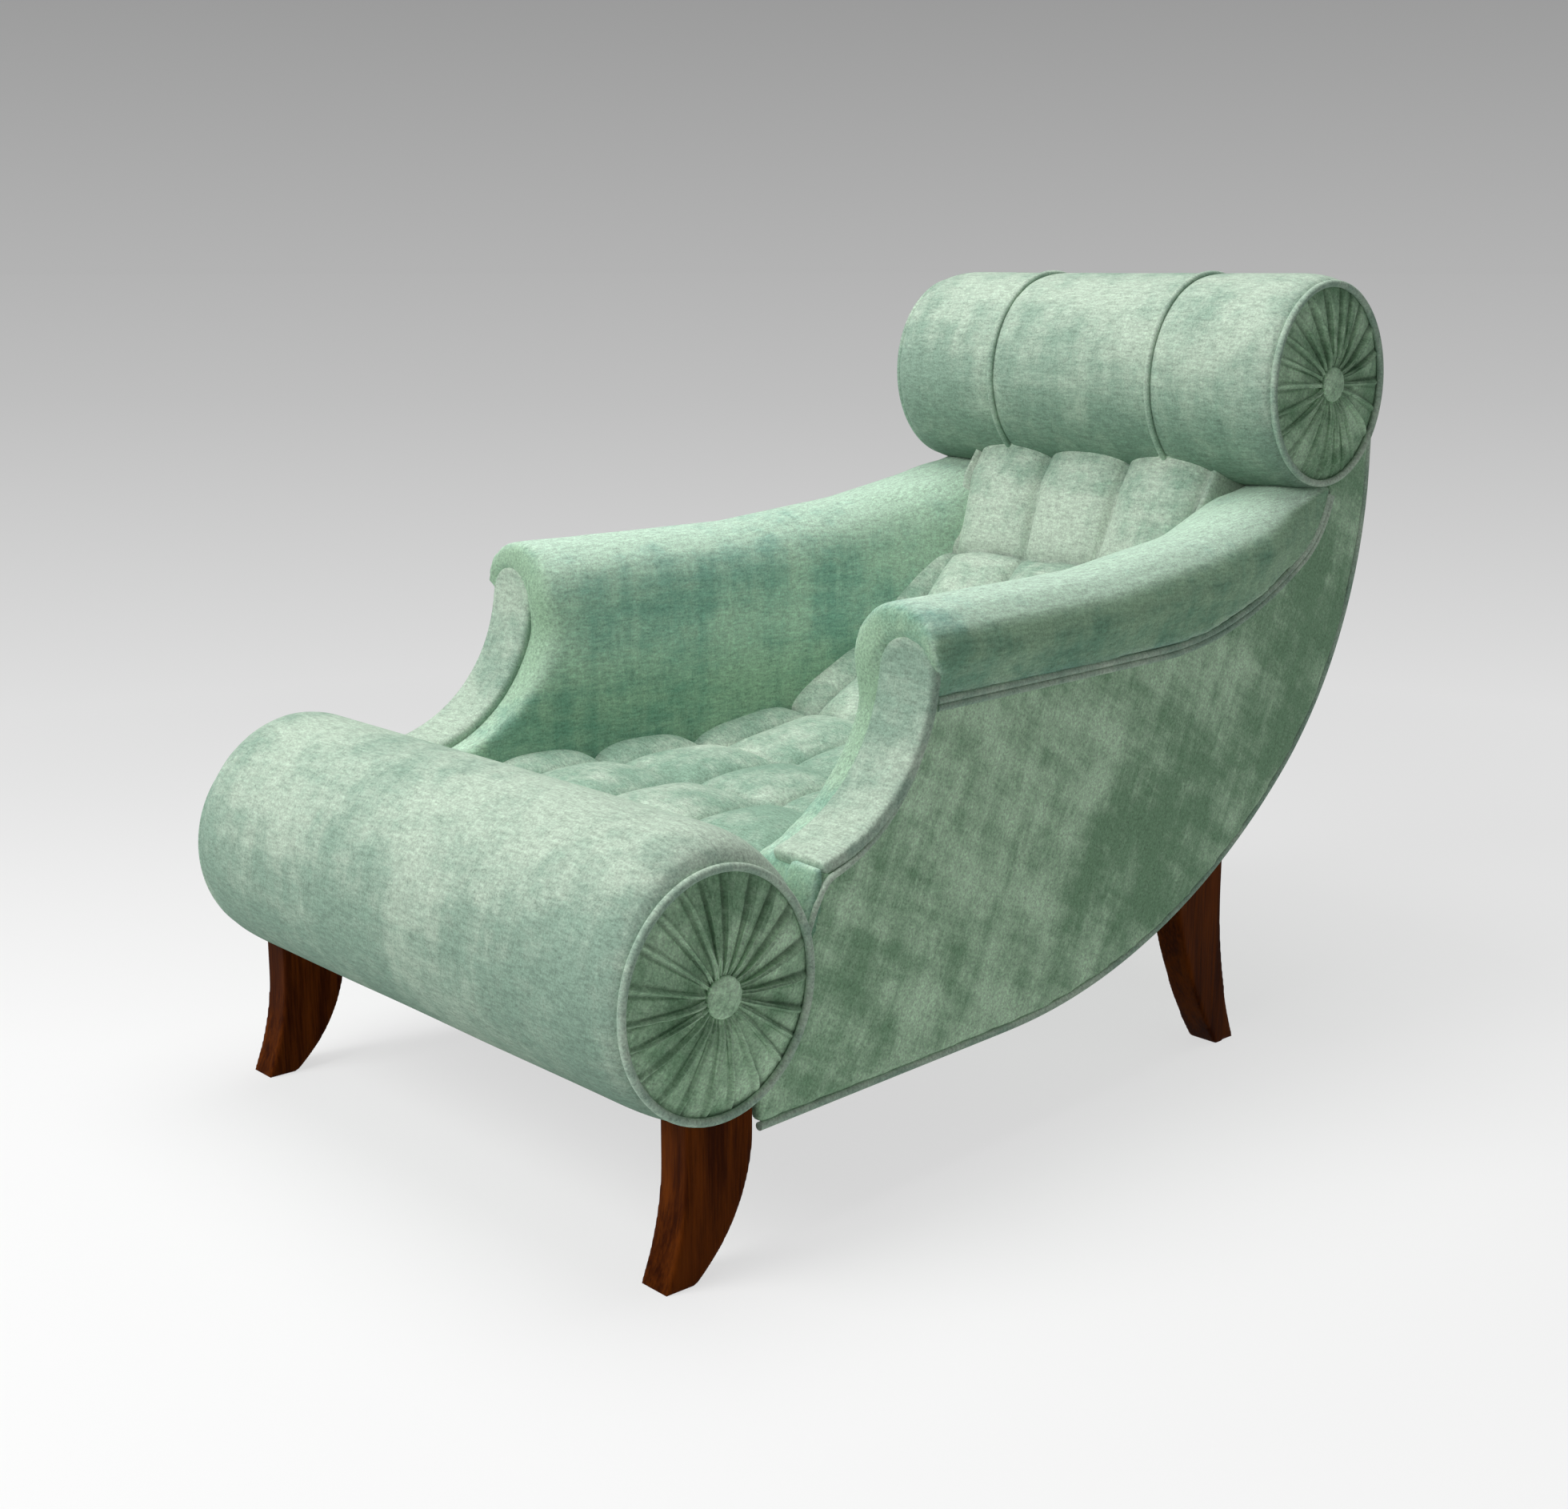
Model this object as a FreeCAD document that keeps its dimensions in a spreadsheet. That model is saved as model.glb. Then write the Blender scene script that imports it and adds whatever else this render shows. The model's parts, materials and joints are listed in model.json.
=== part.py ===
import FreeCAD, Part
import math
import os
import re
import Sketcher

# Low upholstered lounge armchair: a roll across the seat's front edge, a roll for the head, padded arms,
# one tufted pad over seat and back, and a sawn wooden frame on four sabre legs.
# Millimetres, +Z up, front towards -Y. Heights are measured from the floor, and depths from the axis of the
# front roll; FRONT_Y moves that axis so that the origin is below the middle of the chair.

SIZES = {
    # the two rolls
    "front_roll_length": 724,
    "front_roll_depth": 212,
    "front_roll_height": 226,
    "front_roll_swell": 26,
    "front_roll_sag": 4,
    "front_roll_shoulder": 70,
    "front_axis_height": 258,
    "head_roll_length": 570,
    "head_roll_depth": 204,
    "head_roll_height": 222,
    "head_axis_height": 732,
    "roll_spacing": 950,
    "front_end_thickness": 36,
    "head_end_thickness": 18,
    "end_inset": 8,
    "disc_thickness": 10,
    "head_middle_length": 236,
    "head_middle_slimming": 2,
    "button_diameter": 38,
    "button_rise": 7,
    "button_crown": 24,
    # fabric, cord and the room between pieces
    "cover_thickness": 3,
    "welt_diameter": 8,
    "welt_sink": 1,
    "seam_cord_diameter": 5,
    "arm_cord_diameter": 6,
    "arm_cord_stop": 66,
    "soft_gap": 0.3,
    "fit_gap": 0.2,
    # sweep of the lower and back edge, seen from the side
    "sweep_start": 400,
    "sweep_bottom": 124,
    "sweep_below_head": 92,
    "sweep_behind_head": 99,
    "sweep_end_share": 0.853,
    "sweep_rise": 48,
    "panel_thickness": 4,
    "panel_front": 50,
    "back_cover_inset": 3.2,
    # wooden frame
    "frame_thickness": 30,
    "rail_depth": 55,
    "lap_start": 34,
    "lap_end": 41,
    "cross_rail_thickness": 30,
    "front_rail_gap": 6,
    "rear_rail_place": 470,
    "rear_rail_height": 62,
    "lower_rail_angle": 48,
    "lower_rail_height": 40,
    "top_rail_angle": 81,
    "top_rail_height": 50,
    "tenon_length": 22,
    "tenon_shoulder": 8,
    "tenon_side": 8,
    "block_leg": 60,
    "block_height": 30,
    "beam_depth": 80,
    "beam_height": 45,
    "beam_drop": 30,
    "beam_housing": 20,
    "batten_depth": 40,
    "batten_height": 28,
    "batten_drop": 40,
    "batten_housing": 10,
    # arms
    "arm_sweep_start": 640,
    "arm_sweep_behind_head": 16,
    "arm_sweep_end_share": 0.655,
    "arm_welt_height": 472,
    "arm_top_height": 558,
    "arm_top_start": 440,
    "arm_top_radius": 1820,
    "arm_overhang": 17,
    "arm_reach": 96,
    "arm_crown": 40,
    "arm_inner_drop": 52,
    "arm_outer_drop": 45,
    "arm_rail_depth": 40,
    "arm_post_depth": 55,
    "facing_place": 98,
    "facing_height": 511,
    "facing_radius": 168,
    "facing_thickness": 11,
    "facing_width": 70,
    "facing_reach": 315,
    "facing_top": 528,
    "facing_foot_angle": 78,
    # seat and back
    "seat_height": 322,
    "seat_run": 457,
    "recline_radius": 425,
    "recline_angle": 65,
    "pad_thickness": 70,
    "tuft_first_row": 129,
    "tuft_seat_pitch": 137,
    "tuft_back_pitch": 144,
    "tuft_middle_share": 0.274,
    "tuft_edge_share": 0.82,
    "tuft_depth": 36,
    "tuft_crown": 10,
    "canvas_thickness": 2,
    "strap_width": 50,
    "strap_thickness": 2,
    "seat_strap_pitch": 95,
    "back_strap_pitch": 120,
    "spring_radius": 32,
    "spring_wire": 4,
    "spring_coils": 3,
    # legs
    "leg_thickness": 38,
    "front_leg_front": -36,
    "front_leg_depth": 75,
    "front_leg_knee": 112,
    "front_leg_hock": 130,
    "front_leg_kick": 24,
    "front_foot_depth": 33,
    "back_leg_place": 686,
    "back_leg_depth": 104,
    "back_leg_knee": 320,
    "back_leg_hock": 185,
    "back_leg_kick": 107,
    "back_foot_depth": 35,
    "leg_peg_width": 14,
    "leg_peg_depth": 34,
    "leg_peg_length": 100,
    "roll_peg_width": 40,
    "roll_peg_thickness": 12,
    "roll_peg_spread": 150,
}

# Sizes that follow from those above. Each may use the ones before it.
DERIVED = {
    "front_y": "(front_roll_depth - head_roll_depth) / 4 - roll_spacing / 2",
    "half_front": "front_roll_length / 2",
    "half_head": "head_roll_length / 2",
    "taper": "(half_front - half_head) / roll_spacing",
    "sweep_height": "head_axis_height - sweep_below_head",
    "sweep_length": "roll_spacing + sweep_behind_head - sweep_start",
    "sweep_drop": "sweep_height - sweep_bottom",
    "sweep_end_radius": "sweep_drop * sweep_end_share",
    "arm_sweep_height": "sweep_height",
    "arm_sweep_length": "roll_spacing + arm_sweep_behind_head - arm_sweep_start",
    "arm_sweep_drop": "arm_sweep_height - arm_welt_height",
    "arm_sweep_end_radius": "arm_sweep_drop * arm_sweep_end_share",
    "frame_inset": "back_cover_inset + cover_thickness + fit_gap",
    "frame_bottom": "sweep_height - sweep_drop + frame_inset",
    "frame_inner": "panel_thickness + frame_thickness",
    "leg_inset": "welt_diameter / 2 + panel_thickness / 2 + soft_gap",
    "rail_top": "frame_bottom + rail_depth",
    "cross_bottom": "frame_bottom - strap_thickness - fit_gap",
    "front_rail_place": "front_roll_depth / 2 + front_rail_gap",
    "front_rail_back": "front_rail_place + cross_rail_thickness",
    "rear_rail_back": "rear_rail_place + cross_rail_thickness",
    "pad_bottom": "seat_height - pad_thickness",
    "canvas_bottom": "pad_bottom - soft_gap - canvas_thickness",
    "arm_front_radius": "facing_radius + facing_thickness + soft_gap",
    "tenon_outer": "frame_inner - tenon_length",
    "front_block_end": "half_front - disc_thickness - front_end_thickness",
    "head_board_end": "half_head - disc_thickness - head_end_thickness",
    "beam_height_mid": "front_axis_height - beam_drop",
    "batten_height_mid": "head_axis_height - batten_drop",
    "front_leg_middle": "front_leg_front + front_leg_depth / 2",
    "back_leg_middle": "back_leg_place + back_leg_depth * 0.65",
    "heel_y": "sweep_start + sweep_length - sweep_end_radius",
    "heel_radius": "sweep_end_radius - frame_inset - rail_depth / 2",
    "lower_rail_y": "heel_y + heel_radius * sin(lower_rail_angle * 1 deg)",
    "lower_rail_z": "sweep_height - heel_radius * cos(lower_rail_angle * 1 deg)",
    "top_rail_y": "heel_y + heel_radius * sin(top_rail_angle * 1 deg)",
    "top_rail_z": "sweep_height - heel_radius * cos(top_rail_angle * 1 deg)",
    "far_side": "half_front + front_roll_depth",
    "far_front": "-front_roll_depth",
    "far_back": "roll_spacing + head_roll_depth",
    "far_top": "head_axis_height + head_roll_height",
}

Vector = FreeCAD.Vector
Rotation = FreeCAD.Rotation
# Turns a sketch upright, with its Y up: its X runs along the depth (side view) or the width (front view).
SIDE_VIEW = Rotation(Vector(1, 1, 1), 120)
FRONT_VIEW = Rotation(Vector(1, 0, 0), 90)

doc = FreeCAD.newDocument("lounge_armchair")
sheet = doc.addObject("Spreadsheet::Sheet", "Sizes")
for row, (alias, number) in enumerate(SIZES.items(), start=1):
    sheet.set(f"A{row}", alias.replace("_", " "))
    sheet.set(f"B{row}", str(number))
    sheet.setAlias(f"B{row}", alias)
doc.recompute()


def rule(text):
    """An expression with each name led by the object that holds it."""
    def lead(match):
        word = match.group()
        if word in SIZES:
            return "Sizes." + word
        return "Derived." + word if word in DERIVED else word
    return re.sub(r"[a-z_]+", lead, str(text))


derived = doc.addObject("App::VarSet", "Derived")
for name, text in DERIVED.items():
    derived.addProperty("App::PropertyFloat", name)
    derived.setExpression(name, rule(text))
doc.recompute()


def size(name):
    """The value of a driving or derived size."""
    return float(sheet.get(name)) if name in SIZES else getattr(derived, name)


def make(kind, name, **properties):
    """A document object; its properties given as text are bound to the sheet."""
    item = doc.addObject("Part::" + kind, name)
    for key, value in properties.items():
        if isinstance(value, str):
            item.setExpression(key, rule(value))
        else:
            setattr(item, key, value)
    return item


def place(item, x="0", y="0", z="0", turn=Rotation()):
    """Puts an object at x, y from the front roll's axis, and z above the floor."""
    item.Placement = FreeCAD.Placement(Vector(), turn)
    item.setExpression("Placement.Base.x", rule(x))
    item.setExpression("Placement.Base.y", rule(f"front_y + {y}"))
    item.setExpression("Placement.Base.z", rule(z))
    return item


def box(name, x, y, z):
    """A box between (low, high) pairs."""
    item = make("Box", name, Length=f"({x[1]}) - ({x[0]})", Width=f"({y[1]}) - ({y[0]})",
                Height=f"({z[1]}) - ({z[0]})")
    return place(item, x[0], y[0], z[0])


def cut(name, base, *tools):
    for number, tool in enumerate(tools):
        base = make("Cut", f"{name}_{number}", Base=base, Tool=tool)
    return base


def common(name, first, second):
    return make("Common", name, Base=first, Tool=second)


def fuse(name, *shapes):
    return make("MultiFuse", name, Shapes=list(shapes))


def group(name, items):
    return make("Compound", name, Links=list(items))


def mirrored(name, source):
    return make("Mirroring", name, Source=source, Normal=Vector(1, 0, 0), Base=Vector())


def extrusion(name, base, direction, length):
    item = make("Extrusion", name, Base=base, Dir=direction, Solid=True, LengthFwd=length)
    item.DirMode = "Custom"
    return item


def line(start, end):
    return Part.LineSegment(Vector(*start, 0), Vector(*end, 0))


def polyline(*points):
    return [line(a, b) for a, b in zip(points, points[1:])]


def arc(centre, radius, start, end):
    """Part of a circle, anticlockwise between two angles in degrees."""
    circle = Part.Circle(Vector(*centre, 0), Vector(0, 0, 1), radius)
    return Part.ArcOfCircle(circle, math.radians(start), math.radians(end))


def bow(start, middle, end):
    return Part.Arc(Vector(*start, 0), Vector(*middle, 0), Vector(*end, 0))


def on_circle(centre, radius, angle):
    turn = math.radians(angle)
    return (centre[0] + radius * math.cos(turn), centre[1] + radius * math.sin(turn))


def oval_curves(centre, height, depth, sides=0):
    """A four-arc oval whose flatter arcs face the shorter way, or one of straight sides."""
    tall, wide = height / 2, depth / 2
    if sides:
        turns = [2 * math.pi * side / sides for side in range(sides)]
        corners = [(centre[0] + wide * math.cos(turn), centre[1] + tall * math.sin(turn)) for turn in turns]
        return polyline(*corners, corners[0])
    if abs(tall - wide) < size("fit_gap") / 10:
        return [Part.Circle(Vector(*centre, 0), Vector(0, 0, 1), tall)]
    long, short = max(tall, wide), min(tall, wide)
    tight = short ** 2 / long
    flat = (short ** 2 + (long - tight) ** 2 - tight ** 2) / (2 * (short - tight))
    corner = math.degrees(math.atan2(long - tight, flat - short))
    turn = 0 if tall > wide else 90
    curves = []
    for way in (0, 180):
        tight_centre = on_circle(centre, long - tight, 90 + way - turn)
        flat_centre = on_circle(centre, flat - short, 180 + way - turn)
        curves.append(arc(tight_centre, tight, way - turn + corner, way - turn + 180 - corner))
        curves.append(arc(flat_centre, flat, way - turn - corner, way - turn + corner))
    return curves


class Sweep:
    """A curve of two arcs that leaves the horizontal at its start and is upright at its end.

    A place along it is given by the slope there in degrees, and an inset is measured square to it.
    """

    def __init__(self, prefix):
        self.start = size(prefix + "_start")
        self.height = size(prefix + "_height")
        self.drop = size(prefix + "_drop")
        length, self.end_radius = size(prefix + "_length"), size(prefix + "_end_radius")
        run, rise = length - self.end_radius, self.drop - self.end_radius
        self.radius = self.end_radius + (run ** 2 + rise ** 2) / (2 * rise)
        self.bend = math.degrees(math.atan2(run, self.radius - self.drop))
        self.centre = (self.start, self.height - self.drop + self.radius)
        self.end_centre = (self.start + run, self.height)

    def part(self, slope):
        if slope <= self.bend:
            return self.centre, self.radius
        return self.end_centre, self.end_radius

    def point(self, inset, slope):
        centre, radius = self.part(slope)
        return on_circle(centre, radius - inset, slope - 90)

    def arcs(self, inset, start, end):
        stops = [start] + [self.bend] * (start < self.bend < end) + [end]
        pieces = []
        for low, high in zip(stops, stops[1:]):
            centre, radius = self.part((low + high) / 2)
            pieces.append(arc(centre, radius - inset, low - 90, high - 90))
        return pieces

    def slope_at(self, depth, inset=0.0):
        for centre, radius in ((self.centre, self.radius), (self.end_centre, self.end_radius)):
            share = (depth - centre[0]) / (radius - inset)
            slope = math.degrees(math.asin(max(0.0, min(share, 1.0))))
            if slope <= self.bend:
                return slope
        return slope

    def height_at(self, depth, inset=0.0):
        return self.point(inset, self.slope_at(depth, inset))[1]


lower_sweep = Sweep("sweep")
arm_sweep = Sweep("arm_sweep")


def outline(name, curves, turn=SIDE_VIEW, x="0", y="0", z="0"):
    """A fixed sketch of the given curves."""
    sketch = doc.addObject("Sketcher::SketchObject", name)
    place(sketch, x, y, z, turn)
    for number in sketch.addGeometry(list(curves), False):
        sketch.addConstraint(Sketcher.Constraint("Block", number))
    return sketch


def slab(name, curves, low="0", high="far_side"):
    """The side view that the curves enclose, thickened between two places along X."""
    sketch = outline(name + "_outline", curves, x=low)
    return extrusion(name, sketch, Vector(1, 0, 0), f"({high}) - ({low})")


def across(name, curves):
    """The same, over the whole width of the chair."""
    return slab(name, curves, "-far_side")


def oval(name, centre, height, depth, low, high, sides):
    """A solid of oval section between two places along X."""
    return slab(name, oval_curves(centre, height, depth, sides), low, high)


def wedge(name, low, high):
    """A block whose sides taper in plan: low and high are its X at the axis of the front roll."""
    item = make("Wedge", name, Ymin="far_front", Ymax="far_back", Zmin="0", Z2min="0", Zmax="far_top",
                Z2max="far_top", Xmin=low.format("far_front"), Xmax=high.format("far_front"),
                X2min=low.format("far_back"), X2max=high.format("far_back"))
    return place(item)


def layer(name, outer, inner):
    """The right-hand layer between two depths below the side panel's outer face."""
    edges = [f"half_front - ({depth}) - taper * ({{0}})" for depth in (inner, outer)]
    return wedge(name, *edges)


def between(name, depth):
    """The room between the two sides, from a depth below each side panel's outer face."""
    edge = f"half_front - ({depth}) - taper * ({{0}})"
    return wedge(name, f"-({edge})", edge)


# Cords and the faces inside the rolls have straight sides in place of arcs
RIM_SIDES = 32
LINING_SIDES = 24


class Roll:
    """The oval section of one of the rolls."""

    def __init__(self, prefix, depth_place):
        self.prefix = prefix
        self.half = "half_" + prefix
        self.centre = (depth_place, size(prefix + "_axis_height"))
        self.height = size(prefix + "_roll_height")
        self.depth = size(prefix + "_roll_depth")

    def oval(self, name, inset, low, high, sides=0):
        return oval(name, self.centre, self.height - 2 * inset, self.depth - 2 * inset, low, high, sides)

    def bolster(self, name, inset):
        """The stuffed body of the roll, which swells upwards between its two ends."""
        half, shoulder = size(self.half), size(self.prefix + "_roll_shoulder")
        faces = []
        for number, (x, share) in enumerate(((-half, 0), (shoulder - half, 1), (half - shoulder, 1), (half, 0))):
            rise = self.height / 2 - inset + share * size(self.prefix + "_roll_swell")
            drop = self.height / 2 - inset + share * size(self.prefix + "_roll_sag")
            corners = []
            for side in range(LINING_SIDES):
                turn = 2 * math.pi * side / LINING_SIDES
                y = self.centre[0] + (self.depth / 2 - inset) * math.cos(turn)
                z = self.centre[1] + (rise if math.sin(turn) > 0 else drop) * math.sin(turn)
                corners.append(Vector(x, size("front_y") + y, z))
            faces.append(make("Polygon", f"{name}_face_{number}", Close=True, Nodes=corners))
        return make("Loft", name, Solid=True, Ruled=True, Sections=faces)

    def cord(self, name, inset, diameter, low, high, sides):
        """A cord round the roll, with its middle an inset below the cover's face."""
        return cut(name, self.oval(name + "_outside", inset - diameter / 2, low, high, sides),
                   self.oval(name + "_inside", inset + diameter / 2, low, high, sides))


nodes = {}


def node(label, item):
    nodes[label] = item
    return item


def pair(label, right):
    """A right-hand piece and its mirror image."""
    node(label + "_right", right)
    node(label + "_left", mirrored(label + "_mirror", right))


def twins(label, *right):
    """Small pieces of the right-hand side and their mirror images, as one node."""
    one_side = group(label + "_right_side", right)
    node(label, group(label, [one_side, mirrored(label + "_left_side", one_side)]))


# Rooms that other pieces keep clear of
front_roll = Roll("front", 0.0)
head_roll = Roll("head", size("roll_spacing"))
front_rooms = (front_roll.oval("front_room", -size("soft_gap"), "-far_side", "far_side"),
               front_roll.bolster("front_swell_room", -size("soft_gap")))
head_room = head_roll.oval("head_room", -size("soft_gap"), "-far_side", "far_side")
rim_reach = size("welt_diameter") / 2 - size("welt_sink")
head_rim_room = head_roll.oval("head_rim_room", -rim_reach - size("soft_gap"), "-far_side", "far_side")
seam = ("head_middle_length / 2 + fit_gap", "head_middle_length / 2 + fit_gap + seam_cord_diameter")
seam_sink = size("cover_thickness") - size("seam_cord_diameter") / 2
seam_room = head_roll.oval("seam_room", seam_sink - size("seam_cord_diameter") / 2 - 2 * size("soft_gap"),
                           f"{seam[0]} - soft_gap", f"{seam[1]} + soft_gap")
head_rooms = (head_room, seam_room, mirrored("seam_room_left", seam_room))
frame_layer = layer("frame_layer", "panel_thickness", "frame_inner")
panel_layer = layer("panel_layer", "0", "panel_thickness")
tenon_layer = layer("tenon_layer", "panel_thickness + tenon_side", "frame_inner - tenon_side")
mortise_layer = layer("mortise_layer", "panel_thickness + tenon_side - fit_gap",
                      "frame_inner - tenon_side + fit_gap")
frame_room = between("frame_room", "frame_inner")
tenon_room = between("tenon_room", "tenon_outer")
mortise_room = between("mortise_room", "tenon_outer - fit_gap")
pad_room = between("pad_room", "arm_reach + soft_gap")
cover_room = between("cover_room", "leg_inset")
arm_centre = (size("facing_place"), size("facing_height"))
arm_front = size("arm_front_radius")


def arm_front_depth(height, radius):
    """Where the hollow front of the arm lies at a height."""
    return arm_centre[0] + math.sqrt(radius ** 2 - (height - arm_centre[1]) ** 2)


def arm_front_angle(height, radius):
    return math.degrees(math.asin((height - arm_centre[1]) / radius))


def about(middle, width):
    """The two ends of a width about its middle."""
    return (f"{middle} - {width} / 2", f"{middle} + {width} / 2")


# Cross rails: each is tenoned into the side members at both ends
def cross_rail(label, y, z):
    side, shoulder, gap = "tenon_side", "tenon_shoulder", "fit_gap"
    reach = ("-half_front", "half_front")
    body = common(label + "_body", box(label + "_bar", reach, y, z), frame_room)
    tongue = box(label + "_tongue", reach, (f"{y[0]} + {side}", f"{y[1]} - {side}"),
                 (f"{z[0]} + {shoulder}", f"{z[1]} - {shoulder}"))
    slot = box(label + "_slot", reach, (f"{y[0]} + {side} - {gap}", f"{y[1]} - {side} + {gap}"),
               (f"{z[0]} + {shoulder} - {gap}", f"{z[1]} - {shoulder} + {gap}"))
    rail = fuse(label, body, common(label + "_tenons", tongue, tenon_room))
    return rail, common(label + "_mortise", slot, mortise_room)


front_rail, front_mortise = cross_rail("front_rail", ("front_rail_place", "front_rail_back"),
                                       ("cross_bottom", "canvas_bottom - soft_gap"))
rear_rail, rear_mortise = cross_rail("rear_rail", ("rear_rail_place", "rear_rail_back"),
                                     ("cross_bottom", "cross_bottom + rear_rail_height"))
lower_rail, lower_mortise = cross_rail("back_lower_rail", about("lower_rail_y", "cross_rail_thickness"),
                                       about("lower_rail_z", "lower_rail_height"))
top_rail, top_mortise = cross_rail("back_top_rail", about("top_rail_y", "cross_rail_thickness"),
                                   about("top_rail_z", "top_rail_height"))
node("rear_rail", rear_rail)
node("back_lower_rail", lower_rail)


# Sawn side rail and back post, halved into each other
def sweep_band(sweep, outer, inner, start=0, end=90, front=None, top=None):
    """Side view of a band between two insets of a sweep, with a run to the front or a rise to the top."""
    curves, tips, tails = [], [], []
    for inset in (outer, inner):
        tip, tail = sweep.point(inset, start), sweep.point(inset, end)
        curves += sweep.arcs(inset, start, end)
        if front is not None:
            curves.append(line((front, tip[1]), tip))
            tip = (front, tip[1])
        if top is not None:
            curves.append(line(tail, (tail[0], top)))
            tail = (tail[0], top)
        tips.append(tip)
        tails.append(tail)
    return curves + [line(*tips), line(*tails)]


outer_edge = size("frame_inset")
inner_edge = outer_edge + size("rail_depth")
lap = (size("lap_start"), size("lap_end"))
rail_curves = sweep_band(lower_sweep, outer_edge, inner_edge, 0, lap[1], front=size("front_rail_place"))
lap_margin = size("tenon_side")
lap_curves = sweep_band(lower_sweep, outer_edge - lap_margin, inner_edge + lap_margin, *lap)
lap_sector = slab("lap_sector", lap_curves)
half_lap = "panel_thickness + frame_thickness / 2"
inner_lap = common("inner_lap", lap_sector, layer("inner_half", half_lap, "frame_inner + tenon_side"))
outer_lap = common("outer_lap", lap_sector, layer("outer_half", "panel_thickness - tenon_side", half_lap))
side_rail = common("side_rail_blank", slab("side_rail_slab", rail_curves), frame_layer)
post_band = slab("back_post_slab", sweep_band(lower_sweep, outer_edge, inner_edge, lap[0]))
back_post = common("back_post_blank", post_band, frame_layer)
back_post = cut("back_post", back_post, outer_lap, lower_mortise, top_mortise, head_room)

# Arm rail: follows the welt below the arm roll, from the arm post to the back post
rail_half = size("arm_rail_depth") / 2
arm_rail_low = size("arm_sweep_height") - size("arm_sweep_drop") - rail_half
arm_rail_high = arm_rail_low + 2 * rail_half
arm_rail_tips = [(arm_front_depth(height, arm_front), height) for height in (arm_rail_low, arm_rail_high)]
arm_rail_curves = arm_sweep.arcs(-rail_half, 0, 90) + arm_sweep.arcs(rail_half, 0, 90)
arm_rail_curves += [line(arm_sweep.point(-rail_half, 90), arm_sweep.point(rail_half, 90)),
                    line(arm_rail_tips[0], arm_sweep.point(-rail_half, 0)),
                    line(arm_rail_tips[1], arm_sweep.point(rail_half, 0)),
                    arc(arm_centre, arm_front, arm_front_angle(arm_rail_low, arm_front),
                        arm_front_angle(arm_rail_high, arm_front))]
arm_rail_blank = common("arm_rail_blank", slab("arm_rail_slab", arm_rail_curves), frame_layer)
arm_rail_blank = cut("arm_rail_ends", arm_rail_blank, post_band, head_room)

# Arm post: rises from the side rail and hollows forward behind the facing
foot_angle = -size("facing_foot_angle")
post_foot = on_circle(arm_centre, arm_front, foot_angle)
post_back = arm_front + size("arm_post_depth")
post_heel = post_foot[0] + size("arm_post_depth")
post_heel_angle = -math.degrees(math.acos((post_heel - arm_centre[0]) / post_back))
post_top = (arm_front_depth(arm_rail_low, arm_front), arm_front_depth(arm_rail_low, post_back))
post_curves = [arc(arm_centre, arm_front, foot_angle, arm_front_angle(arm_rail_low, arm_front)),
               arc(arm_centre, post_back, post_heel_angle, arm_front_angle(arm_rail_low, post_back)),
               line((post_top[0], arm_rail_low), (post_top[1], arm_rail_low))]
post_curves += polyline(post_foot, (post_foot[0], size("rail_top")), (post_heel, size("rail_top")),
                        on_circle(arm_centre, post_back, post_heel_angle))
shoulder = size("tenon_shoulder")
tenon = size("tenon_length")


def upright_tenon(name, front, back, low, high, room, gap=0.0):
    near, far, foot, head = front - gap, back + gap, low - gap, high + gap
    corners = [(near, foot), (far, foot), (far, head), (near, head)]
    return common(name, slab(name + "_slab", polyline(*corners, corners[0])), room)


foot_tenon = (post_foot[0] + shoulder, post_heel - shoulder, size("rail_top") - tenon, size("rail_top"))
head_tenon = (post_top[0] + 2 * shoulder, post_top[1] - shoulder, arm_rail_low, arm_rail_low + tenon)
arm_post = fuse("arm_post", common("arm_post_blank", slab("arm_post_slab", post_curves), frame_layer),
                upright_tenon("arm_post_foot_tenon", *foot_tenon, tenon_layer),
                upright_tenon("arm_post_head_tenon", *head_tenon, tenon_layer))
foot_mortise = upright_tenon("arm_post_foot_mortise", *foot_tenon, mortise_layer, size("fit_gap"))
head_mortise = upright_tenon("arm_post_head_mortise", *head_tenon, mortise_layer, size("fit_gap"))

# Legs: sabre shape, with the front pair bent forward and the back pair backward
def sabre(front, back, knee, hock, kick, foot, top):
    """Side view of a leg: two arcs that leave the upright at the knee and the hock and end at the foot."""
    toe = front + kick
    heel = toe + foot
    front_radius = (knee ** 2 + kick ** 2) / (2 * abs(kick))
    back_kick = heel - back
    back_radius = (hock ** 2 + back_kick ** 2) / (2 * abs(back_kick))
    way = math.copysign(1, kick)

    def bend(edge, radius, height):
        """The bent edge as a rule that gives its point at a height."""
        def at(z):
            return (edge + way * (radius - math.sqrt(radius ** 2 - (height - z) ** 2)), z)
        return at

    front_at = bend(front, front_radius, knee)
    back_at = bend(back, back_radius, hock)
    low_front, low_back = min(knee, top), min(hock, top)
    curves = [bow(front_at(0), front_at(low_front / 2), front_at(low_front)),
              bow(back_at(0), back_at(low_back / 2), back_at(low_back)),
              line(front_at(0), back_at(0))]
    front_top, back_top = front_at(low_front), back_at(low_back)
    rise = [front_top, (front_top[0], top), (back_top[0], top), back_top]
    rise = [point for number, point in enumerate(rise) if number == 0 or point != rise[number - 1]]
    return curves + polyline(*rise)


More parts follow.
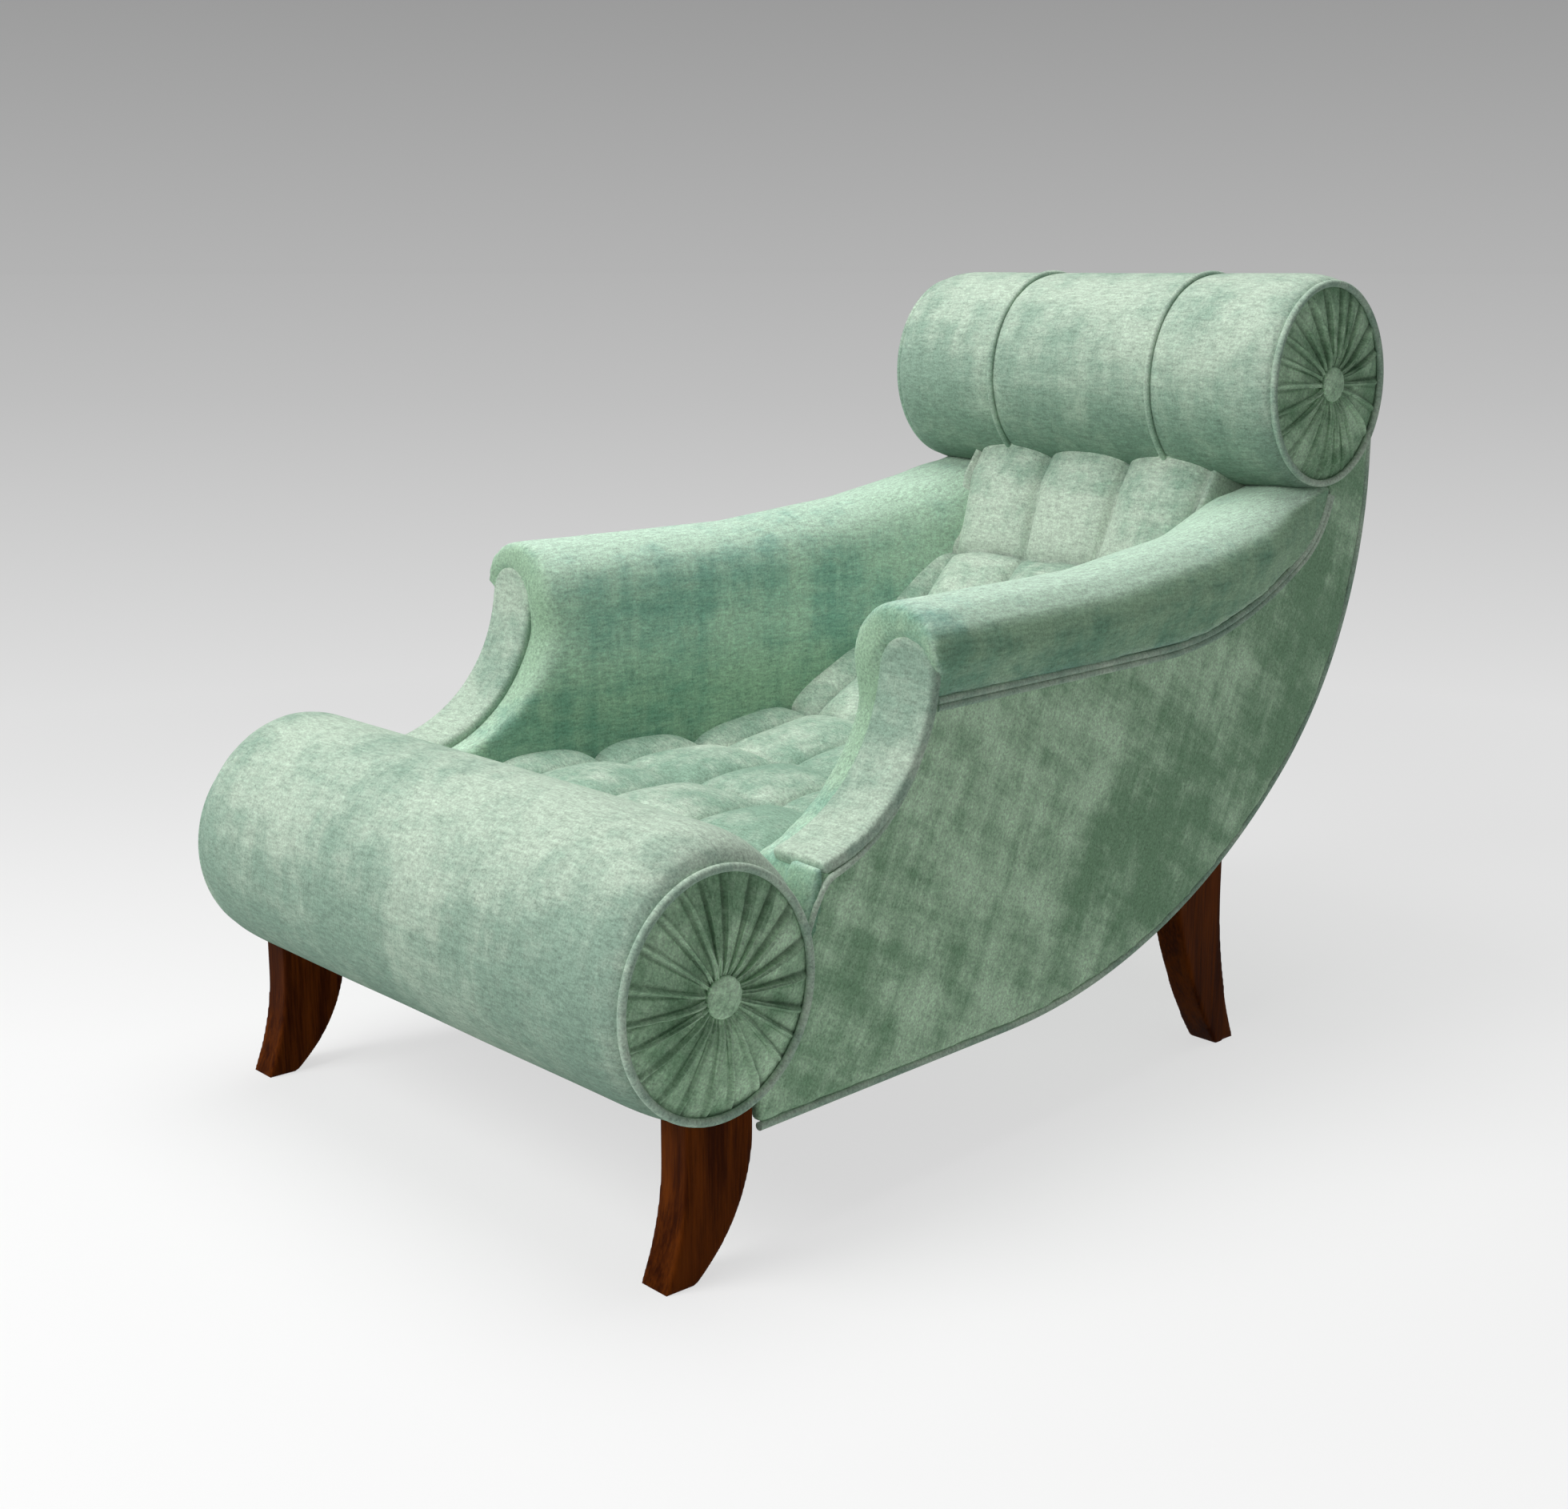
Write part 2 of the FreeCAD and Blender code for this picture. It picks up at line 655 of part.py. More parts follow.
def leg_body(name, curves, x):
    """A leg sawn from a plank: the side view padded across the plank's thickness."""
    body = doc.addObject("PartDesign::Body", name)
    place(body, x)
    plane = [item for item in body.Origin.OriginFeatures if item.Role == "YZ_Plane"][0]
    sketch = body.newObject("Sketcher::SketchObject", name + "_outline")
    sketch.AttachmentSupport = [(plane, "")]
    sketch.MapMode = "FlatFace"
    for number in sketch.addGeometry(curves, False):
        sketch.addConstraint(Sketcher.Constraint("Block", number))
    pad = body.newObject("PartDesign::Pad", name + "_pad")
    pad.Profile = sketch
    pad.setExpression("Length", rule("leg_thickness"))
    return body


front_leg_curves = sabre(size("front_leg_front"), size("front_leg_front") + size("front_leg_depth"),
                         size("front_leg_knee"), size("front_leg_hock"), -size("front_leg_kick"),
                         size("front_foot_depth"), size("front_axis_height"))
front_leg_blank = leg_body("front_leg_blank", front_leg_curves, "half_front - leg_thickness")
back_leg_curves = sabre(size("back_leg_place"), size("back_leg_place") + size("back_leg_depth"),
                        size("back_leg_knee"), size("back_leg_hock"), size("back_leg_kick"),
                        size("back_foot_depth"), size("back_leg_knee"))
leg_layer = layer("leg_layer", "leg_inset", "leg_inset + leg_thickness")
back_leg_blank = common("back_leg_blank", slab("back_leg_slab", back_leg_curves), leg_layer)
rail_edge = outer_edge - size("fit_gap")
rail_ends = [lower_sweep.point(rail_edge, slope) for slope in (0, 90)]
rail_room_curves = polyline(rail_ends[0], (size("sweep_start"), size("sweep_height")), rail_ends[1])
rail_room = slab("rail_room", lower_sweep.arcs(rail_edge, 0, 90) + rail_room_curves)
back_leg_blank = cut("back_leg_top", back_leg_blank, rail_room)

# Pegs stand upright in the legs and the wood above them
def peg(name, x, y, z):
    """A peg between (low, high) pairs, and the mortise it sits in."""
    room = [(f"{low} - fit_gap", f"{high} + fit_gap") for low, high in (x, y, z)]
    return box(name, x, y, z), box(name + "_mortise", *room)


front_peg, front_peg_mortise = peg(
    "front_leg_peg", about("half_front - leg_thickness / 2 - disc_thickness / 2", "leg_peg_width"),
    about("front_leg_middle", "leg_peg_depth"),
    about("front_axis_height - front_roll_height / 2", "leg_peg_length"))
back_leg_x = "half_front - taper * back_leg_middle - leg_inset - leg_thickness / 2"
back_peg, back_peg_mortise = peg(
    "back_leg_peg", about(back_leg_x, "leg_peg_width"), about("back_leg_middle", "leg_peg_depth"),
    about(str(lower_sweep.height_at(size("back_leg_middle"), outer_edge)), "leg_peg_length"))
twins("leg_pegs", front_peg, back_peg)
pair("front_leg", cut("front_leg", front_leg_blank, *front_rooms, front_peg_mortise))
back_leg = cut("back_leg", back_leg_blank, back_peg_mortise)
pair("back_leg", back_leg)
rail_mortises = (front_mortise, rear_mortise, foot_mortise, back_peg_mortise)
side_rail = cut("side_rail", side_rail, inner_lap, *rail_mortises)
pair("side_rail", side_rail)
pair("back_post", cut("back_post_bored", back_post, back_peg_mortise))
pair("arm_post", arm_post)
pair("arm_rail", cut("arm_rail", arm_rail_blank, head_mortise))

# Corner blocks between the side rails and the cross rails
def corner_block(name, depth, way):
    side = size("half_front") - size("frame_inner") - size("fit_gap")
    near = depth + way * size("fit_gap")
    far = near + way * size("block_leg")
    at_near, at_far = side - size("taper") * near, side - size("taper") * far
    corners = [(at_near, near), (at_near - size("block_leg"), near), (at_far, far)]
    sketch = outline(name + "_outline", polyline(*corners, corners[0]), Rotation(), z="frame_bottom")
    return extrusion(name, sketch, Vector(0, 0, 1), "block_height")


twins("corner_blocks", corner_block("front_block", size("front_rail_back"), 1),
      corner_block("rear_block", size("rear_rail_place"), -1))

# Wooden cores of the two rolls
beam_y = ("-beam_depth / 2", "beam_depth / 2")
beam_z = about("beam_height_mid", "beam_height")
beam_x = ("-front_block_end - beam_housing", "front_block_end + beam_housing")
beam = box("beam_blank", beam_x, beam_y, beam_z)
beam_slot = box("beam_slot", ("-half_front", "front_block_end + beam_housing + fit_gap"),
                ("-beam_depth / 2 - fit_gap", "beam_depth / 2 + fit_gap"),
                (f"{beam_z[0]} - fit_gap", f"{beam_z[1]} + fit_gap"))
batten_y = about("top_rail_y", "batten_depth")
batten_z = about("batten_height_mid", "batten_height")
batten_x = ("-head_board_end - batten_housing", "head_board_end + batten_housing")
batten = box("batten_blank", batten_x, batten_y, batten_z)
batten_slot = box("batten_slot", ("-half_head", "head_board_end + batten_housing + fit_gap"),
                  (f"{batten_y[0]} - fit_gap", f"{batten_y[1]} + fit_gap"),
                  (f"{batten_z[0]} - fit_gap", f"{batten_z[1]} + fit_gap"))

# Pegs: one pair through the front rail into the beam, one pair up through the top rail into the batten
front_roll_peg, front_roll_mortise = peg("front_roll_peg", about("roll_peg_spread", "roll_peg_width"),
                                         ("0", "front_rail_back"),
                                         about("beam_height_mid", "roll_peg_thickness"))
head_roll_peg, head_roll_mortise = peg("head_roll_peg", about("roll_peg_spread / 3", "roll_peg_width"),
                                       about("top_rail_y", "roll_peg_thickness"),
                                       ("top_rail_z - top_rail_height / 2", "batten_height_mid"))
twins("roll_pegs", front_roll_peg, head_roll_peg)
front_holes = (front_roll_mortise, mirrored("front_roll_mortise_left", front_roll_mortise))
head_holes = (head_roll_mortise, mirrored("head_roll_mortise_left", head_roll_mortise))
node("front_rail", cut("front_rail_bored", front_rail, *front_holes))
node("back_top_rail", cut("top_rail_bored", top_rail, *head_holes))
node("front_roll_beam", cut("front_roll_beam", beam, *front_holes))
node("head_roll_batten", cut("head_roll_batten", batten, *head_holes))


# Rolls: wooden ends, filling, cover, gathered end discs, rim welts and covered buttons
fabric = size("cover_thickness")
lining = fabric + size("soft_gap")
front_leg_holes = (front_peg_mortise, mirrored("front_peg_mortise_left", front_peg_mortise))
covers = {}
discs, cords, buttons = [], [], []
for roll, thickness, slot, end_holes, holes in (
        (front_roll, "front_end_thickness", beam_slot, [front_peg_mortise], front_holes),
        (head_roll, "head_end_thickness", batten_slot, [], head_holes)):
    name, half = roll.prefix, roll.half
    end = roll.oval(name + "_end_blank", size("end_inset"), f"{half} - disc_thickness - {thickness}",
                    f"{half} - disc_thickness", LINING_SIDES)
    twins(name + "_roll_ends", cut(name + "_roll_end", end, slot, *end_holes))
    reach = f"({half} - disc_thickness - {thickness} - soft_gap)"
    filling = roll.oval(name + "_filling_blank", lining, "-" + reach, reach, LINING_SIDES)
    if roll is front_roll:
        filling = common("front_filling_body", roll.bolster("front_filling_bolster", lining),
                         box("filling_reach", ("-" + reach, reach), ("-far_side", "far_side"), ("0", "far_top")))
    node(name + "_roll_filling", cut(name + "_roll_filling", filling, slot, *holes))
    covers[name] = roll.oval(name + "_cover_inside", fabric, "-far_side", "far_side", LINING_SIDES)
    discs.append(roll.oval(name + "_disc", lining, f"{half} - disc_thickness", half, LINING_SIDES))
    rim = (f"{half} + fit_gap", f"{half} + fit_gap + welt_diameter")
    cords.append(roll.cord(name + "_rim_welt", size("welt_sink"), size("welt_diameter"), *rim, RIM_SIDES))
    middle = [str(value) for value in roll.centre]
    faces = []
    for width, rise in (("button_diameter", "0"), ("button_crown", "button_rise")):
        face = make("RegularPolygon", f"{name}_{width}", Polygon=16, Circumradius=f"{width} / 2")
        faces.append(place(face, f"{half} + {rise}", *middle, Rotation(Vector(0, 1, 0), 90)))
    buttons.append(make("Loft", name + "_button", Solid=True, Ruled=True, Sections=faces))
front_body = front_roll.bolster("front_cover_body", 0)
front_inside = front_roll.bolster("front_cover_hollow", fabric)
cover_holes = (*front_leg_holes, *front_holes)
node("front_roll_cover", cut("front_roll_cover", front_body, front_inside, *cover_holes))

# Head cover: three panels with a seam cord in each joint
side_tube = head_roll.oval("head_side_tube", 0, f"{seam[1]} + fit_gap", "half_head")
twins("head_cover_sides", cut("head_cover_side", side_tube, covers["head"]))
head_middle = head_roll.oval("head_middle_tube", size("head_middle_slimming") / 2, "-head_middle_length / 2",
                             "head_middle_length / 2")
node("head_cover_middle", cut("head_cover_middle", head_middle, covers["head"], *head_holes))
cords.append(head_roll.cord("seam_cord", seam_sink, size("seam_cord_diameter"), *seam, LINING_SIDES))
twins("end_discs", *discs)
twins("roll_welts", *cords)
twins("roll_buttons", *buttons)

# Seat and back pad: level, then round a wide arc, then straight up the reclined back
recline = size("recline_angle")
seat_arc_centre = (size("seat_run"), size("seat_height") + size("recline_radius"))


def back_point(offset, height):
    """A point of the reclined back, behind the pad's face by an offset."""
    start = on_circle(seat_arc_centre, size("recline_radius") + offset, recline - 90)
    rise = height - start[1]
    return (start[0] + rise / math.tan(math.radians(recline)), height)


def seat_band(upper, lower, front, top):
    """Side view of a layer of the seat and back, between two depths below the pad's face."""
    edges = []
    for offset in (upper, lower):
        radius = size("recline_radius") + offset
        level = size("seat_height") - offset
        turn_end = on_circle(seat_arc_centre, radius, recline - 90)
        edges += [line((front, level), (size("seat_run"), level)),
                  arc(seat_arc_centre, radius, -90, recline - 90),
                  line(turn_end, back_point(offset, top))]
    edges.append(line((front, size("seat_height") - upper), (front, size("seat_height") - lower)))
    edges.append(line(back_point(upper, top), back_point(lower, top)))
    return edges


pad_front = size("front_roll_depth") / 4
pad_depth = size("pad_thickness")
canvas_depth = pad_depth + size("soft_gap")
canvas_back = canvas_depth + size("canvas_thickness")


def pad_point(way, depth):
    """A point of the pad's side view, by its way along the face and its depth below the face."""
    past_seat = way - (size("seat_run") - pad_front)
    turn = math.degrees(past_seat / size("recline_radius"))
    if turn <= 0:
        return (pad_front + way, size("seat_height") - depth)
    y, z = on_circle(seat_arc_centre, size("recline_radius") + depth, min(turn, recline) - 90)
    rest = max(0.0, past_seat - math.radians(recline) * size("recline_radius"))
    return (y + rest * math.cos(math.radians(recline)), z + rest * math.sin(math.radians(recline)))


def tufts(folds):
    """Places from fold to fold, each with 1 for a fold and a little for the shoulders of a tuft."""
    stops = []
    for low, high in zip(folds, folds[1:]):
        stops += [(low, 1.0), (low + (high - low) * 0.22, 0.08), (high - (high - low) * 0.22, 0.08)]
    return stops + [(folds[-1], 1.0)]


# Tufted face: rows of folds from front to back, columns of folds between the arms
bend_row = size("tuft_first_row") + 2 * size("tuft_seat_pitch")
fold_rows = [bend_row + size("tuft_seat_pitch") * row for row in range(-3, 1)]
fold_rows += [bend_row + size("tuft_back_pitch") * row for row in range(1, 4)]
pad_end = fold_rows[-1] + 3 * size("tuft_back_pitch")
row_stops = tufts(fold_rows) + [(fold_rows[-1] + size("tuft_back_pitch") * 0.22, 0.08), (pad_end, 0.08)]
middle_fold, edge_fold = size("tuft_middle_share"), size("tuft_edge_share")
column_stops = tufts([-edge_fold, -middle_fold, middle_fold, edge_fold])
pad_edge = 1.03
column_stops = [(-pad_edge, 0.08)] + column_stops + [(pad_edge, 0.08)]
pad_back_ways = [pad_end * share / 12 for share in range(12, -1, -1)] + [fold_rows[0]]
columns = []
for number, (across_share, column_fold) in enumerate(column_stops):
    section = [pad_point(way, size("tuft_depth") * (row_fold + column_fold) / 2 - size("tuft_crown"))
               for way, row_fold in row_stops]
    section += [pad_point(way, 1.5 * pad_depth) for way in pad_back_ways]
    reach = [size("half_front") - size("arm_reach") - size("taper") * y for y, z in section]
    columns.append(make("Polygon", f"tuft_column_{number}", Close=True, Nodes=[
        Vector(across_share * x, size("front_y") + y, z) for x, (y, z) in zip(reach, section)]))
tufted_block = make("Loft", "tufted_block", Solid=True, Ruled=True, Sections=columns)
pad_top = size("head_axis_height")
pad_slab = across("pad_slab", seat_band(-2 * size("tuft_crown"), pad_depth, pad_front, pad_top))
pad = common("tufted_pad_blank", common("pad_between_arms", pad_slab, pad_room), tufted_block)
node("tufted_pad", cut("tufted_pad", pad, *front_rooms, *head_rooms))
canvas_band = seat_band(canvas_depth, canvas_back, size("front_rail_place"), pad_top)
canvas = common("canvas_blank", across("canvas_slab", canvas_band), pad_room)
node("seat_canvas", cut("seat_canvas", canvas, *head_rooms))

# Seat webbing below the rails, with a spring on each of five crossings
straps = []
strap_reach = ("front_rail_place", "rear_rail_back")
strap_z = ("cross_bottom - strap_thickness - fit_gap", "cross_bottom - fit_gap")
for number in range(-2, 3):
    strap_x = about(f"seat_strap_pitch * {number}", "strap_width")
    straps.append(box(f"long_strap_{number + 2}", strap_x, strap_reach, strap_z))
strap_room = between("strap_room", "panel_thickness + tenon_side")
seat_middle = "(front_rail_back + rear_rail_place) / 2"
for number in range(-1, 2):
    middle = f"{seat_middle} + seat_strap_pitch * {number}"
    bar = box(f"cross_strap_bar_{number + 1}", ("-half_front", "half_front"), about(middle, "strap_width"),
              ("cross_bottom", "cross_bottom + strap_thickness"))
    straps.append(common(f"cross_strap_{number + 1}", bar, strap_room))
node("seat_webbing", group("seat_webbing", straps))

spring_bottom = size("cross_bottom") + size("strap_thickness") + size("spring_wire") / 2 + size("fit_gap")
spring_rise = size("canvas_bottom") - spring_bottom - size("spring_wire") / 2 - size("fit_gap")
coil_sides = 6
springs = []
for number, (column, row) in enumerate(((-1, -1), (1, -1), (0, 0), (-1, 1), (1, 1))):
    steps = int(size("spring_coils") * coil_sides)
    bends = [on_circle((0, 0), size("spring_radius"), 360 * step / coil_sides) for step in range(steps + 1)]
    coil = make("Polygon", f"coil_{number}", Nodes=[
        Vector(*bend, spring_rise * step / steps) for step, bend in enumerate(bends)])
    x, y = f"seat_strap_pitch * {column}", f"{seat_middle} + seat_strap_pitch * {row}"
    place(coil, x, y, str(spring_bottom))
    wire = make("RegularPolygon", f"coil_wire_{number}", Polygon=4, Circumradius="spring_wire / 2")
    place(wire, f"{x} + spring_radius", y, str(spring_bottom), FRONT_VIEW)
    coil_edges = [f"Edge{step + 1}" for step in range(steps)]
    spring = make("Sweep", f"spring_{number}", Sections=[wire], Spine=(coil, coil_edges), Solid=True)
    spring.Transition = "Right corner"
    springs.append(spring)
node("seat_springs", group("seat_springs", springs))

# Back webbing on the inner edge of the back posts, and the stuffing between it and the canvas
web_near = inner_edge + size("fit_gap")
web_far = web_near + size("strap_thickness")
web_angles = (lap[1] + 2, 86)
strap_turn = math.degrees(size("strap_width") / (size("sweep_end_radius") - inner_edge))
back_straps = []
for number in range(4):
    start = web_angles[0] + number * (web_angles[1] - web_angles[0] - strap_turn) / 3
    strap_band = sweep_band(lower_sweep, web_near, web_far, start, start + strap_turn)
    bar = across(f"back_strap_bar_{number}", strap_band)
    back_straps.append(common(f"back_strap_{number}", bar, strap_room))
web_front = web_far + size("fit_gap") + size("strap_thickness")
upright_band = sweep_band(lower_sweep, web_far + size("fit_gap"), web_front, *web_angles)
for number in range(-1, 2):
    strap_x = about(f"back_strap_pitch * {number}", "strap_width")
    back_straps.append(slab(f"upright_strap_{number + 1}", upright_band, *strap_x))
node("back_webbing", group("back_webbing", back_straps))

stuffing_depth = canvas_back + size("soft_gap")
stuffing_edge = web_front + size("soft_gap")
stuffing_radius = size("recline_radius") + stuffing_depth
stuffing_top = lower_sweep.point(stuffing_edge, web_angles[1])
stuffing_foot = lower_sweep.point(stuffing_edge, lap[0])
stuffing_start = -math.degrees(math.acos((stuffing_foot[0] - seat_arc_centre[0]) / stuffing_radius))
stuffing_curves = lower_sweep.arcs(stuffing_edge, lap[0], web_angles[1])
stuffing_curves.append(arc(seat_arc_centre, stuffing_radius, stuffing_start, recline - 90))
stuffing_curves += polyline(on_circle(seat_arc_centre, stuffing_radius, recline - 90),
                            back_point(stuffing_depth, stuffing_top[1]), stuffing_top)
stuffing_curves.append(line(on_circle(seat_arc_centre, stuffing_radius, stuffing_start), stuffing_foot))
stuffing = common("stuffing_blank", across("stuffing_slab", stuffing_curves), pad_room)
node("back_stuffing", cut("back_stuffing", stuffing, head_room))


# Arm pads: sections along the arm, hollowed at the front for the facing
ARM_STEPS = 3


def arm_section(name, depth):
    side = size("half_front") - size("taper") * depth
    inner, outer = side - size("arm_reach"), side + size("arm_overhang")
    crown = side - size("arm_crown")
    run = max(0.0, depth - size("arm_top_start"))
    top = size("arm_top_height") + size("arm_top_radius") - math.sqrt(size("arm_top_radius") ** 2 - run ** 2)
    welt = arm_sweep.height_at(depth)
    low = size("pad_bottom")
    if depth > size("seat_run"):
        turn = min((depth - size("seat_run")) / (size("recline_radius") + pad_depth), 0.98)
        low = seat_arc_centre[1] - (size("recline_radius") + pad_depth) * math.sqrt(1 - turn * turn)
    low = min(low, welt - size("arm_rail_depth"))
    frame = side - size("frame_inner") - size("soft_gap")
    inner_top, outer_top = top - size("arm_inner_drop"), top - size("arm_outer_drop")
    turns = [math.radians(90 * step / ARM_STEPS) for step in range(ARM_STEPS + 1)]
    corners = [(crown + (inner - crown) * math.cos(turn), inner_top + (top - inner_top) * math.sin(turn))
               for turn in turns]
    corners += [(crown + (outer - crown) * math.sin(turn), outer_top + (top - outer_top) * math.cos(turn))
                for turn in turns[1:]]
    corners += [(side, welt), (frame, welt), (frame, low), (inner, low)]
    return outline(name, polyline(*corners, corners[0]), FRONT_VIEW, y=str(depth))


arm_ends = (pad_front, size("arm_sweep_start") + size("arm_sweep_length") * 0.97)
station_shares = (0, 0.3, 0.55, 0.74, 0.87, 0.97)
arm_stations = [arm_ends[0] + (arm_ends[1] - arm_ends[0]) * share for share in station_shares]
arm_loft = make("Loft", "arm_loft", Solid=True, Ruled=True, Sections=[
    arm_section(f"arm_section_{number}", depth) for number, depth in enumerate(arm_stations)])
arm_brow = (arm_centre[0] + arm_front, size("far_top"))
arm_toe = (size("facing_place"), size("front_axis_height"))
arm_hollow = [arc(arm_centre, arm_front, foot_angle, 0)]
arm_hollow += polyline(post_foot, arm_toe, (size("far_front"), arm_toe[1]), (size("far_front"), arm_brow[1]),
                       arm_brow, (arm_brow[0], arm_centre[1]))
arm_hollow_slab = slab("arm_hollow", arm_hollow)
pair("arm_pad", cut("arm_pad", arm_loft, arm_hollow_slab, *front_rooms, head_rim_room, arm_rail_blank))

# Arm facings: a padded strip down the hollow front of each arm, with an arched top
facing_inner = size("facing_radius")
facing_outer = facing_inner + size("facing_thickness")
facing_top = size("facing_top")
facing_front, facing_back = arm_centre[0] + facing_inner, arm_centre[0] + facing_outer
facing_end = [on_circle(arm_centre, radius, foot_angle) for radius in (facing_inner, facing_outer)]
facing_curves = [arc(arm_centre, radius, foot_angle, 0) for radius in (facing_inner, facing_outer)]
facing_curves.append(line(*facing_end))
facing_curves += polyline((facing_front, arm_centre[1]), (facing_front, facing_top),
                          (facing_back, facing_top), (facing_back, arm_centre[1]))
facing_strip = slab("facing_strip", facing_curves, *about("facing_reach", "facing_width"))
half_facing = size("facing_width") / 2
arch_foot = facing_top - half_facing
facing_x = size("facing_reach")
arch_curves = [arc((facing_x, arch_foot), half_facing, 0, 180)]
arch_sides = (facing_x - half_facing, facing_x + half_facing)
arch_curves += polyline((arch_sides[0], arch_foot), (arch_sides[0], 0), (arch_sides[1], 0),
                        (arch_sides[1], arch_foot))
arch_outline = outline("facing_arch_outline", arch_curves, FRONT_VIEW)
arch = extrusion("facing_arch", arch_outline, Vector(0, 1, 0), "roll_spacing")
gap = size("soft_gap")
foot_corners = [(post_foot[0] - gap, post_foot[1] - 2 * gap), arm_toe, (post_foot[0] - gap, arm_toe[1])]
facing_foot = common("facing_foot_blank", slab("facing_foot_slab", polyline(*foot_corners, foot_corners[0])),
                     layer("facing_foot_layer", "panel_thickness + soft_gap", "frame_inner"))
facing_foot = cut("facing_foot", facing_foot, *front_rooms)
pair("arm_facing", group("arm_facing", [common("facing_pad", facing_strip, arch), facing_foot]))

# Outside side panels, cut round both rolls
panel_edge = size("welt_diameter") / 2 + size("soft_gap")
panel_front = size("panel_front")
panel_top = size("arm_sweep_height") - size("arm_sweep_drop")
panel_bottom = lower_sweep.point(panel_edge, 0)
panel_back = lower_sweep.point(panel_edge, 90)
panel_crest = (panel_back[0], size("sweep_height") + size("sweep_rise"))
panel_nape = arm_sweep.point(0, 90)
panel_curves = lower_sweep.arcs(panel_edge, 0, 90) + arm_sweep.arcs(0, 0, 90)
panel_curves.append(arc(arm_centre, arm_front, foot_angle, arm_front_angle(panel_top, arm_front)))
panel_curves += polyline(post_foot, arm_toe, (panel_front, arm_toe[1]), (panel_front, panel_bottom[1]),
                         panel_bottom)
panel_curves += polyline(panel_back, panel_crest, (panel_nape[0], panel_crest[1]), panel_nape)
panel_curves.append(line((arm_front_depth(panel_top, arm_front), panel_top), arm_sweep.point(0, 0)))
panel = common("side_panel_blank", slab("side_panel_slab", panel_curves), panel_layer)
pair("side_panel", cut("side_panel", panel, *front_rooms, head_room))

# Outside back, from the rear rail up to the head roll, and the dust cover below the seat
cover_outer = size("back_cover_inset")
cover_start = lower_sweep.slope_at(size("rear_rail_back") + fabric, cover_outer)
cover_top = size("sweep_height") + size("sweep_rise")
cover_curves = sweep_band(lower_sweep, cover_outer, cover_outer + fabric, cover_start, top=cover_top)
outside_back = common("outside_back_blank", across("outside_back_slab", cover_curves), cover_room)
other_back_leg = mirrored("back_leg_blank_left", back_leg_blank)
node("outside_back", cut("outside_back", outside_back, back_leg_blank, other_back_leg, *head_rooms))
dust_top = "cross_bottom - strap_thickness - 2 * fit_gap"
dust_z = (f"{dust_top} - canvas_thickness / 2", dust_top)
dust_sheet = box("dust_sheet", ("-half_front", "half_front"), strap_reach, dust_z)
node("dust_cover", common("dust_cover", dust_sheet, cover_room))


# Side welts: along the lower and back edge, a double one below the arm roll, and down the arm's front edge
def side_cord(name, curves, outer, inner):
    return common(name, slab(name + "_slab", curves), layer(name + "_layer", outer, inner))


welt_half = size("welt_diameter") / 2
lower_band = sweep_band(lower_sweep, -welt_half, welt_half, front=panel_front, top=cover_top)
side_cords = [side_cord("lower_welt", lower_band, *about("panel_thickness / 2", "welt_diameter"))]
thin = size("arm_cord_diameter")
cord_step = thin + size("fit_gap")
cord_layer = ("-arm_cord_diameter - fit_gap", "-fit_gap")
cord_start = arm_front_depth(panel_top, arm_front) + size("welt_diameter")
for number in range(2):
    upper = -number * cord_step
    cord_band = sweep_band(arm_sweep, upper - thin, upper, 0, size("arm_cord_stop"), front=cord_start)
    side_cords.append(side_cord(f"arm_cord_{number}", cord_band, *cord_layer))
edge_top = panel_top - 2 * cord_step
edge_radii = (arm_front, arm_front + thin)
edge_curves = [arc(arm_centre, radius, foot_angle, arm_front_angle(edge_top, radius))
               for radius in edge_radii]
edge_curves += [line(*[on_circle(arm_centre, radius, foot_angle) for radius in edge_radii]),
                line(*[(arm_front_depth(edge_top, radius), edge_top) for radius in edge_radii])]
side_cords.append(side_cord("edge_cord", edge_curves, *cord_layer))
pair("side_welts", group("side_welts", side_cords))

doc.recompute()

failed = [item.Name for item in doc.Objects if {"Invalid", "Error"} & set(item.State)]
if failed:
    raise RuntimeError(f"these objects failed: {failed}")
for label, item in nodes.items():
    item.Label = label
    shape = item.Shape
    if shape.isNull() or not shape.isValid() or not shape.Solids or shape.Volume <= 0:
        raise RuntimeError(f"{label} has no valid solid")

os.makedirs("parts", exist_ok=True)
for label, item in nodes.items():
    item.Shape.exportStep(os.path.join("parts", label + ".step"))
    print(f"{label}: {len(item.Shape.Solids)} solids, {item.Shape.Volume / 1000:.1f} cm3")
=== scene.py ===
# %% [markdown]
# # A low lounge armchair in mottled green velvet
# The wooden frame, springs and webbing come from the CAD frame as they are. Everything that the eye meets
# is upholstery: two rolls, a tufted pad, padded arms and welts. This lesson dresses the frame piece by
# piece.

import json
import math

import bpy
import numpy as np
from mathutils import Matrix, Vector, noise

